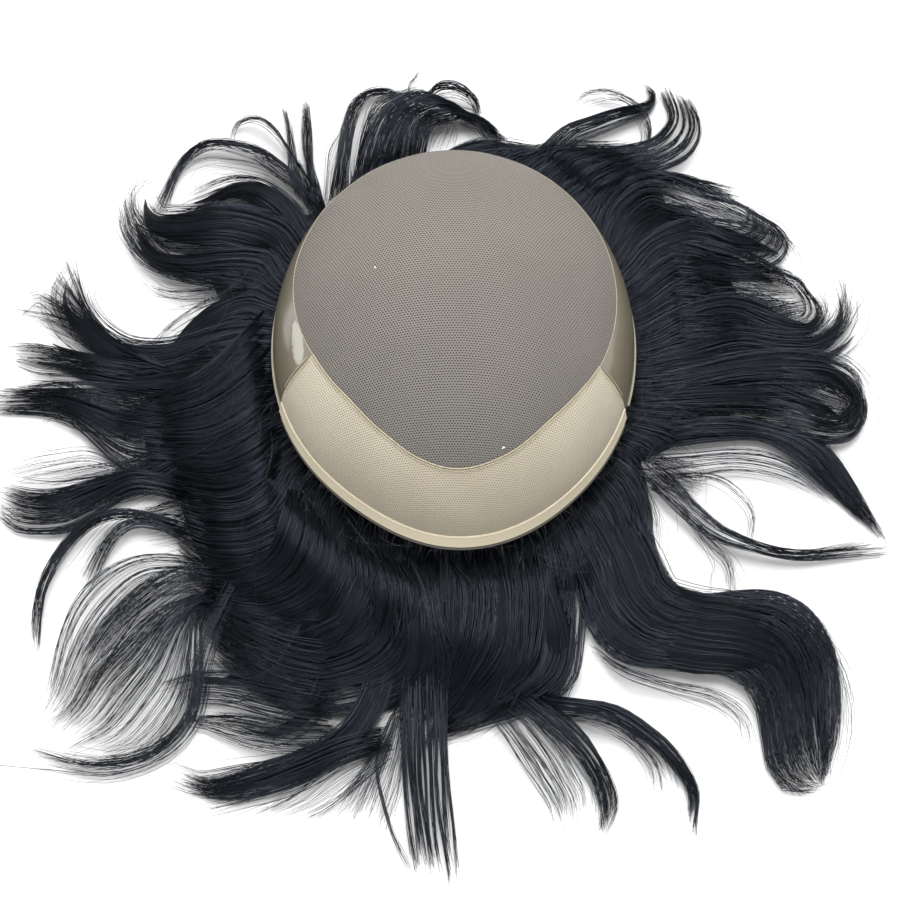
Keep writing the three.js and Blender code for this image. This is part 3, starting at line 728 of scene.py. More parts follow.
@dataclass
class Cap:
    """The cap's cloths and trims, from the crown net down to the rim."""

    form: CapForm
    net_wall: float = 0.9
    skin_wall: float = 1.1
    lace_wall: float = 0.9
    hem_height: float = 8.0
    hem_wall: float = 1.3
    seam_half: float = 1.0
    row_bend: float = 0.0025
    hair_under: float = 2.0
    hair_layer: float = 4.0
    # Angles round and up the cap of the painted highlight, a lamp's glare on the skin
    glare_place: tuple[float, float] = (-167.0, 32.5)
    lint_places: tuple[tuple[float, float], ...] = ((175.5, 67.5), (-71.5, 40.0))
    pieces: list[bpy.types.Object] = field(default_factory=list)

    def dress(self, piece: bpy.types.Object, material: bpy.types.Material, slot: str,
              *nodes: str) -> bpy.types.Object:
        """Finish a piece and tie it to the frame.

        Args:
            piece: The piece.
            material: Its finish.
            slot: The record's material slot for the piece; not used.
            *nodes: The solids that it stands for.

        Returns:
            The same piece.
        """
        piece.data.materials.clear()
        piece.data.materials.append(material)
        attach(piece, "root")
        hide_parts(*nodes)
        self.pieces.append(piece)
        return piece

    def rows(self, flat: Array) -> Array:
        """Bend a cloth's rows into arches, as moulding it over a head block does."""
        return np.stack([flat[:, 0], flat[:, 1] + self.row_bend * flat[:, 0] ** 2], axis=-1)

    def crown(self, finish: WovenFinish) -> bpy.types.Object:
        """Build the crown net, a moulded dome down to the crown seam.

        Args:
            finish: The net's finish.

        Returns:
            The net, dressed and tied to the frame.
        """
        def place(at: Array, share: Array) -> tuple[Array, Array]:
            """Lay the net from the seam to the top.

            Args:
                at: Angles round the cap.
                share: Shares of the way up.

            Returns:
                Points and flat places.
            """
            low = self.form.seam_up(at)
            up = low + (90 - low) * share
            return self.form.point(at, up), self.rows(self.form.spread(at, up))
        piece = MeshMaker.dome("crown_net_cloth", 180, 90, place)
        MeshMaker.thicken(piece, self.net_wall)
        MeshMaker.soften(piece)
        return self.dress(piece, finish.material(), "net", "crown_net")

    def band(self, name: str, first: Join, last: Join, cells: tuple[int, int], low: float,
             wall: float) -> bpy.types.Object:
        """Build a band between the rim and the crown seam.

        Args:
            name: The piece's name.
            first: The join where it starts.
            last: The join where it ends.
            cells: Cells round the cap and up it.
            low: Height of its lower edge above the rim.
            wall: The cloth's thickness.

        Returns:
            The band, with its wall.
        """
        def place(across: Array, climb: Array) -> tuple[Array, Array]:
            """Lay the band, slanting its ends from the rim to the seam.

            Args:
                across: Shares of the way round.
                climb: Shares of the way up.

            Returns:
                Points and flat places.
            """
            rim = first.rim + (last.rim - first.rim) * across
            seam = first.seam + (last.seam - first.seam) * across
            at = rim + (seam - rim) * climb
            foot = self.form.degrees_up(at, 0.0, low)
            up = foot + (self.form.seam_up(at) - foot) * climb
            flat = self.form.spread(at, up)
            return self.form.point(at, up), self.rows(flat)
        piece = MeshMaker.grid(name, *cells, place)
        MeshMaker.thicken(piece, wall)
        MeshMaker.soften(piece)
        return piece

    def strip(self, name: str, span: tuple[float, float], profile: Sequence[tuple[float, float]],
              cells: int, wall: float) -> bpy.types.Object:
        """Build a narrow strip round the rim from its profile.

        Args:
            name: The piece's name.
            span: The angles where it starts and ends.
            profile: Height above the rim and distance out, from its lower edge up.
            cells: Cells round the cap.
            wall: Its thickness.

        Returns:
            The strip, with its wall.
        """
        rows = np.array(profile, float)
        shares = np.linspace(0, 1, len(rows))
        def place(across: Array, climb: Array) -> tuple[Array, Array]:
            """Lay the strip along the rim, its profile smoothed between the rows.

            Args:
                across: Shares of the way round.
                climb: Shares of the way up.

            Returns:
                Points and flat places.
            """
            at = span[0] + (span[1] - span[0]) * across
            height = np.interp(climb, shares, rows[:, 0])
            out = np.interp(climb, shares, rows[:, 1])
            up = self.form.degrees_up(at, 0.0, np.maximum(height, 0))
            points = self.form.point(at, up, out)
            points[:, 2] += np.minimum(height, 0)
            around = np.radians(at) * self.form.rim_width / 2
            return points, np.stack([around, height], axis=-1)
        piece = MeshMaker.grid(name, cells, 4 * (len(rows) - 1), place)
        MeshMaker.thicken(piece, wall)
        MeshMaker.soften(piece, 70)
        return piece

    def seam_line(self, span: tuple[float, float], out: float, shift: float, count: int,
                  lean: float = 0.0) -> Array:
        """Trace a line along the crown seam.

        Args:
            span: The angles where it starts and ends.
            out: Distance out from the cap's face.
            shift: Distance above the seam, below it where negative.
            count: Points on the line.
            lean: Width of a zigzag from point to point.

        Returns:
            The line's points.
        """
        at = np.linspace(*span, count)
        seam = self.form.seam_up(at)
        zigzag = lean * np.where(np.arange(count) % 2, 1.0, -1.0)
        up = seam + self.form.degrees_up(at, seam, 1.0) * (shift + zigzag)
        return self.form.point(at, up, out)

    def join_line(self, join: Join, shift: float, count: int, top: float) -> Array:
        """Trace a line up one join, from above the hem to the crown seam.

        Args:
            join: The join.
            shift: Degrees to one side of it.
            count: Points on the line.
            top: Share of the way up where it ends.

        Returns:
            The line's points.
        """
        climb = np.linspace(0.45, top, count)
        at = join.rim + (join.seam - join.rim) * climb + shift
        return self.form.point(at, self.form.seam_up(at) * climb, 0.45)

    def stitching(self, finish: ThreadFinish) -> None:
        """Build the two ridges of the crown seam with zigzag thread, and the joins.

        Args:
            finish: The thread's finish.
        """
        form = self.form
        front = (form.left_join.seam, form.right_join.seam)
        ridges = [self.seam_line(front, 0.25, shift, 140)
                  for shift in (-self.seam_half / 2, self.seam_half / 2)]
        seam = MeshMaker.thread("crown_seam_ridges", ridges, 0.28)
        self.dress(seam, finish.material(), "stitching", "crown_seam")
        back = [self.seam_line((front[1], front[0] + 360), 0.1, 0.0, 200)]
        seam = MeshMaker.thread("crown_seam_back_ridge", back, 0.16)
        self.dress(seam, finish.material(), "stitching", "crown_seam")
        zigzag = [self.seam_line(front, 0.4, 0.0, 220, self.seam_half * 0.5)]
        sewn = MeshMaker.thread("crown_seam_zigzag", zigzag, 0.12)
        self.dress(sewn, finish.material(), "stitching", "crown_seam")
        left = [self.join_line(form.left_join, shift, 24, 0.94) for shift in (-0.6, 0.6)]
        piece = MeshMaker.thread("left_join_ridges", left, 0.18)
        self.dress(piece, finish.material(), "stitching", "left_join_seam")
        right = [self.join_line(form.right_join, shift, 24, 0.94) for shift in (-0.5, 0.6)]
        piece = MeshMaker.thread("right_join_ridges", right, 0.15)
        self.dress(piece, finish.material(), "stitching", "right_join_seam")

    def lining(self, material: bpy.types.Material) -> bpy.types.Object:
        """Build the layer of hair roots that lines the inside of the cap.

        Args:
            material: The finish of packed hair.

        Returns:
            The lining, dressed and tied to the frame.
        """
        def place(at: Array, share: Array) -> tuple[Array, Array]:
            """Lay the roots from the rim to the top.

            Args:
                at: Angles round the cap.
                share: Shares of the way up.

            Returns:
                Points and flat places.
            """
            up = 90 * share
            lumps = 0.35 * np.sin(np.radians(at) * 31 + share * 5)
            flat = np.stack([np.radians(at) * 60, share * 100], axis=-1)
            return self.form.point(at, up, -self.hair_under + lumps), flat
        piece = MeshMaker.dome("crown_root_lining", 90, 40, place)
        MeshMaker.thicken(piece, self.hair_layer)
        MeshMaker.soften(piece)
        return self.dress(piece, material, "hair", "crown_hair")

    def build(self, bundle: bpy.types.Material) -> None:
        """Build and dress the whole cap.

        Args:
            bundle: The finish of packed hair.
        """
        # Real cloths have a mesh of 0.5 to 0.8 mm, and are drawn coarser here so that it shows
        # Each cloth's first yarn colour is its front's and the second its back's; the net's and
        # lace's darker fronts are painted shade
        net = WovenFinish("knitted_monofilament_net", "#5e574c", "#82786b", "#28231f",
                          "#191714", 1.15, 1.0, 0.3, 0.75, -30, 70, 0.6)
        lace = WovenFinish("woven_swiss_lace", "#a59980", "#d0c6ae", "#72674f",
                           "#655b47", 1.2, 1.05, 0.42, 0.85, -46, 10, 0.4)
        twill = WovenFinish("folded_lace_hem", "#f2e4c6", "#e6d9bc", "#d6c8a8",
                            "#cabc9b", 0.7, 0.55, 0.2, 0.8, -46, 10, 0.3)
        raw = WovenFinish("raw_net_edge", "#5e5242", "#5e5242", "#120f0d",
                          "#0a0908", 0.8, 0.7, 0.22, 0.85, -46, 10, 0.4)
        form = self.form
        # The skin's painted highlight of glare sits at this point
        glare = form.point(*(np.array([value]) for value in self.glare_place))[0]
        film = FilmFinish(spot=tuple(glare))
        crown = self.crown(net)
        skin = self.band("skin_film", form.right_join,
                         Join(form.left_join.rim + 360, form.left_join.seam + 360),
                         (180, 18), 0, self.skin_wall)
        self.dress(skin, film.material(), "skin", "skin_band")
        front = self.band("front_lace_cloth", form.left_join, form.right_join, (130, 24),
                          self.hem_height - 0.3, self.lace_wall)
        self.dress(front, lace.material(), "lace", "front_lace")
        top = self.hem_height
        # Profiles give height above the rim and distance out, from the lower edge up
        hem = self.strip("lace_hem_fold", (form.left_join.rim + 0.4, form.right_join.rim - 0.4),
                         ((0, -0.2), (0.25, 0.9), (0.8, 1.2), (1.4, 0.95), (top - 1.3, 0.35),
                          (top - 0.7, 0.55), (top - 0.3, 0.5), (top, -0.1)), 120, self.hem_wall)
        self.dress(hem, twill.material(), "lace", "lace_hem")
        raw_edge = self.strip("raw_lace_edge", (form.left_join.rim + 2, form.right_join.rim - 2),
                              ((-1.3, 1.5), (-0.8, 1.1), (-0.2, 0.6)), 150, 0.5)
        self.dress(raw_edge, raw.material(), "lace", "lace_edge")
        cut = self.strip("skin_cut_edge", (-18, 199), ((0, 0.3), (0.2, 0.7), (0.8, 0.8),
                         (1.3, 0.5), (1.6, 0.1)), 130, 0.9)
        edge = ThreadFinish("cut_polyurethane_edge", "#c4bda9", "#a0977f", 300.0)
        self.dress(cut, edge.material(), "skin", "skin_edge")
        self.stitching(ThreadFinish("spun_polyester_thread", "#cfc5ae", "#a69b84"))
        self.lining(bundle)
        flecks = [form.point(np.array([at, at + 0.6, at + 1.0]), np.array([up, up + 0.4, up]), 0.2)
                  for at, up in self.lint_places]
        lint = MeshMaker.thread("lint_on_net", flecks, 0.3)
        self.dress(lint, ThreadFinish("white_cotton_lint", "#f4f2ee", "#e4e2dc").material(),
                   "net", "crown_net")


@dataclass(frozen=True)
class Viewpoint:
    """The camera's place and lens, and the picture that it takes."""

    centre: tuple[float, float]
    distance: float = 900.0
    elevation: float = 65.0
    aim: tuple[float, float, float] = (-1.5, -40.0, 0.0)
    lens: float = 87.16
    sensor: float = 36.0
    picture: float = 900.0

    def target(self) -> Array:
        """Give the point that the camera looks at."""
        return np.array([self.aim[0] + self.centre[0], self.aim[1] + self.centre[1], self.aim[2]])

    def stand(self) -> Array:
        """Give the camera's own place."""
        tilt = math.radians(self.elevation)
        return self.target() + self.distance * np.array([0.0, -math.cos(tilt), math.sin(tilt)])

    def seen_at(self, spots: Array, height: Array) -> Array:
        """Find what lies under places of the picture.

        Args:
            spots: Places across and down the picture, one a row.
            height: Height of the wanted points above the table.

        Returns:
            One point a row, at that height.
        """
        tilt = math.radians(self.elevation)
        ahead = np.array([0.0, math.cos(tilt), -math.sin(tilt)])
        above = np.array([0.0, math.sin(tilt), math.cos(tilt)])
        scale = self.sensor / self.lens / self.picture
        across = (spots[:, 0] - self.picture / 2) * scale
        down = (spots[:, 1] - self.picture / 2) * scale
        rays = ahead + across[:, None] * np.array([1.0, 0.0, 0.0]) - down[:, None] * above
        stand = self.stand()
        return stand + rays * ((height - stand[2]) / rays[:, 2])[:, None]


class Lay(Enum):
    """How closely the hairs of a lock lie, and under where a spray of hairs covers it."""

    FULL = "full"
    VEIL = "veil"
    WISP = "wisp"
    UNDER = "under"


@dataclass(frozen=True)
class LayRule:
    """What a lay means: hairs by width, spacing of points, looseness, and its body."""

    hairs_a_mm: float
    point_spacing: float
    gather: float
    fray: float
    has_body: bool


LAY_RULES = {
    Lay.FULL: LayRule(4.6, 2.6, 0.6, 0.5, True),
    Lay.UNDER: LayRule(1.4, 2.6, 0.6, 0.5, True),
    Lay.VEIL: LayRule(3.2, 2.4, 0.55, 0.8, False),
    Lay.WISP: LayRule(5.0, 1.6, 0.5, 0.7, False),
}


@dataclass(frozen=True)
class Lock:
    """One lock: where it leaves the rim, its size and lift as shares, and its path.

    The fan is how much wider than the lock itself its tip spreads.
    """

    name: str
    root: float
    width: float
    depth: float
    lift: float
    path: tuple[tuple[float, float], ...]
    lay: Lay = Lay.FULL
    fan: float = 0.5


LOCKS = (
    Lock("right_upper_curl", 6, 0.12, 0.06, 0.02,
         ((10, 0.15), (11, 0.3), (7, 0.42), (6, 0.5), (9, 0.54), (13, 0.5)), fan=1.2),
    Lock("right_comb_low", 18, 0.15, 0.06, 0.01, ((22, 0.15), (22, 0.3), (17, 0.42), (13, 0.47))),
    Lock("right_comb_mid", 27, 0.12, 0.055, 0.02,
         ((31, 0.15), (29, 0.3), (24, 0.42), (20, 0.49), (17, 0.485)), fan=1.2),
    Lock("right_comb_fill", 33, 0.12, 0.05, 0,
         ((37, 0.12), (37, 0.25), (31, 0.35), (26, 0.41)), Lay.UNDER),
    Lock("right_comb_high", 40, 0.1, 0.05, 0.03,
         ((45, 0.13), (44, 0.25), (38, 0.32), (32, 0.39), (27, 0.44), (23, 0.46)), Lay.VEIL,
         fan=1.2),
    Lock("right_comb_top", 48, 0.045, 0.035, 0.03,
         ((50, 0.12), (48, 0.23), (43, 0.33), (38, 0.385), (34, 0.43)), Lay.WISP),
    Lock("back_right_fill", 60, 0.14, 0.05, 0, ((58, 0.1), (55, 0.2), (50, 0.28)), Lay.UNDER),
    Lock("back_low", 94, 0.08, 0.05, 0.02,
         ((89, 0.08), (83, 0.115), (77, 0.14), (72, 0.16), (66, 0.2))),
    Lock("left_inner_curl", 138, 0.09, 0.05, 0.04,
         ((136, 0.14), (138.5, 0.29), (144, 0.37), (148, 0.43))),
    Lock("left_great_curl_top", 145, 0.15, 0.08, 0.05,
         ((143, 0.1), (147, 0.22), (152, 0.36), (153, 0.45), (149, 0.52), (146, 0.49))),
    Lock("left_great_curl_low", 155, 0.1, 0.06, 0.02,
         ((151.5, 0.1), (155, 0.2), (158.5, 0.3), (159, 0.4), (156, 0.47), (152.5, 0.515),
          (150, 0.515))),
    Lock("left_fill", 165, 0.14, 0.06, 0,
         ((165, 0.1), (170, 0.18), (176, 0.27), (182, 0.34)), Lay.UNDER),
    Lock("left_upper_hook", 172, 0.09, 0.05, 0.02,
         ((175, 0.15), (179.5, 0.3), (179, 0.43), (174, 0.56), (169, 0.62), (163, 0.61)), fan=2.2),
    Lock("left_upper_wisp", 176, 0.035, 0.03, 0.02,
         ((178, 0.2), (178, 0.42), (173, 0.6), (170, 0.69), (173, 0.75)), Lay.WISP, fan=1.6),
    Lock("left_feather_high", 181, 0.07, 0.035, 0.01,
         ((182, 0.2), (181, 0.4), (177.5, 0.6), (175, 0.69)), fan=2.4),
    Lock("left_feather_mid", 185, 0.07, 0.035, 0.01,
         ((185, 0.2), (184, 0.45), (180.5, 0.6), (179.5, 0.74)), fan=2.6),
    Lock("left_feather_low", 190, 0.09, 0.045, 0.01,
         ((190, 0.2), (192, 0.4), (188.5, 0.52), (185.5, 0.6), (186, 0.76)), fan=2.2),
    Lock("left_wing", 197, 0.09, 0.045, 0.01,
         ((200, 0.2), (203, 0.42), (202, 0.53), (201, 0.65), (198, 0.79)), fan=2.4),
    Lock("front_left_veil_edge", 226, 0.04, 0.03, 0.02,
         ((227, 0.2), (230, 0.42), (233, 0.56), (236.5, 0.7), (236, 0.8), (233, 0.91),
          (228, 1), (224, 1.08)), Lay.WISP, fan=1.4),
    Lock("front_left_swirl_high", 236, 0.16, 0.07, 0.02,
         ((241, 0.12), (240, 0.25), (236, 0.36), (231, 0.42)), Lay.UNDER),
    Lock("front_left_hook_high", 240, 0.07, 0.04, 0.01,
         ((241, 0.2), (242, 0.38), (241, 0.5), (236, 0.58), (229, 0.64)), fan=2.4),
    Lock("front_left_swirl_low", 247, 0.17, 0.07, 0.02,
         ((250, 0.15), (249, 0.3), (244, 0.42), (238, 0.47)), Lay.UNDER),
    Lock("front_left_hook_low", 246, 0.07, 0.04, 0.01,
         ((248, 0.25), (250, 0.42), (249, 0.55), (246, 0.62), (242, 0.64), (238, 0.66)), fan=1.4),
    Lock("front_left_hook_outer", 254, 0.09, 0.045, 0.02,
         ((256, 0.2), (258, 0.4), (256, 0.55), (251, 0.68), (246, 0.77), (242, 0.85),
          (238.5, 0.88)), fan=1.5),
    Lock("front_sweep_left", 262, 0.16, 0.07, 0.02,
         ((263, 0.15), (264, 0.3), (261, 0.42), (256, 0.5)), Lay.UNDER),
    Lock("front_sweep_mid", 272, 0.16, 0.06, 0.01,
         ((272, 0.15), (271, 0.3), (267, 0.42), (263, 0.5)), Lay.UNDER),
    Lock("front_sweep_right", 281, 0.16, 0.07, 0.02,
         ((280, 0.15), (278, 0.3), (273, 0.42), (266, 0.47)), Lay.UNDER),
    Lock("front_sweep_edge", 290, 0.13, 0.06, 0.01,
         ((288, 0.15), (287.5, 0.3), (284, 0.41), (276, 0.47)), Lay.UNDER),
    Lock("front_right_great_wave", 308, 0.26, 0.09, 0.03,
         ((305.5, 0.19), (303.5, 0.34), (307.5, 0.475), (312.5, 0.59), (315, 0.73),
          (312.5, 0.85), (307.5, 0.95)), Lay.UNDER),
    Lock("front_right_fill", 321, 0.12, 0.05, 0,
         ((320, 0.08), (315, 0.18), (310, 0.27)), Lay.UNDER),
    Lock("right_lower_hook", 346, 0.11, 0.06, 0.01,
         ((349, 0.15), (352, 0.3), (353, 0.45), (351, 0.57), (347, 0.61)), fan=1.1),
    Lock("right_lower_curl", 350, 0.1, 0.06, 0.03,
         ((353, 0.15), (357, 0.3), (358, 0.45), (357, 0.57), (352, 0.63), (347, 0.625)), fan=1.2),
    Lock("right_middle_flick", 354, 0.06, 0.04, 0.02,
         ((358, 0.15), (361, 0.35), (360, 0.5), (363, 0.6), (367.5, 0.67)), fan=1.4),
    Lock("right_middle_curl", 359, 0.08, 0.05, 0.02,
         ((362, 0.15), (365, 0.3), (363, 0.42), (363, 0.52), (367, 0.595), (372, 0.61),
          (375, 0.61)), fan=1.3),
)

LOOSE_LOCKS = (
    Lock("great_curl_wisps", 158, 0.05, 0.03, 0.02,
         ((158, 0.12), (163, 0.22), (164, 0.35), (162, 0.42)), Lay.VEIL),
    Lock("back_right_loop", 60, 0.03, 0.03, 0.03,
         ((57, 0.2), (51, 0.33), (53.5, 0.4), (59.5, 0.44), (64, 0.4), (67, 0.31)), Lay.VEIL),
)


@dataclass(frozen=True)
class Fan:
    """A spray of hairs between two edges.

    The edges are read off the photograph as places across and down a picture of 900 by
    900. Rise is the spray's height where it starts, and arch what it gains on its way. Fine
    is a factor on the hairs' thickness, and bunch how far its hairs gather into groups.
    """

    name: str
    hairs: int
    groups: int
    first: tuple[tuple[float, float], ...]
    last: tuple[tuple[float, float], ...]
    rise: float = 8.0
    arch: float = 1.5
    loose: float = 0.35
    fine: float = 1.0
    bunch: float = 0.55

    def height(self, share: Array) -> Array:
        """Give the spray's height over the table at shares of its length."""
        return self.rise * (1 - share) + 2.0 * share + self.arch * np.sin(np.pi * share) ** 2


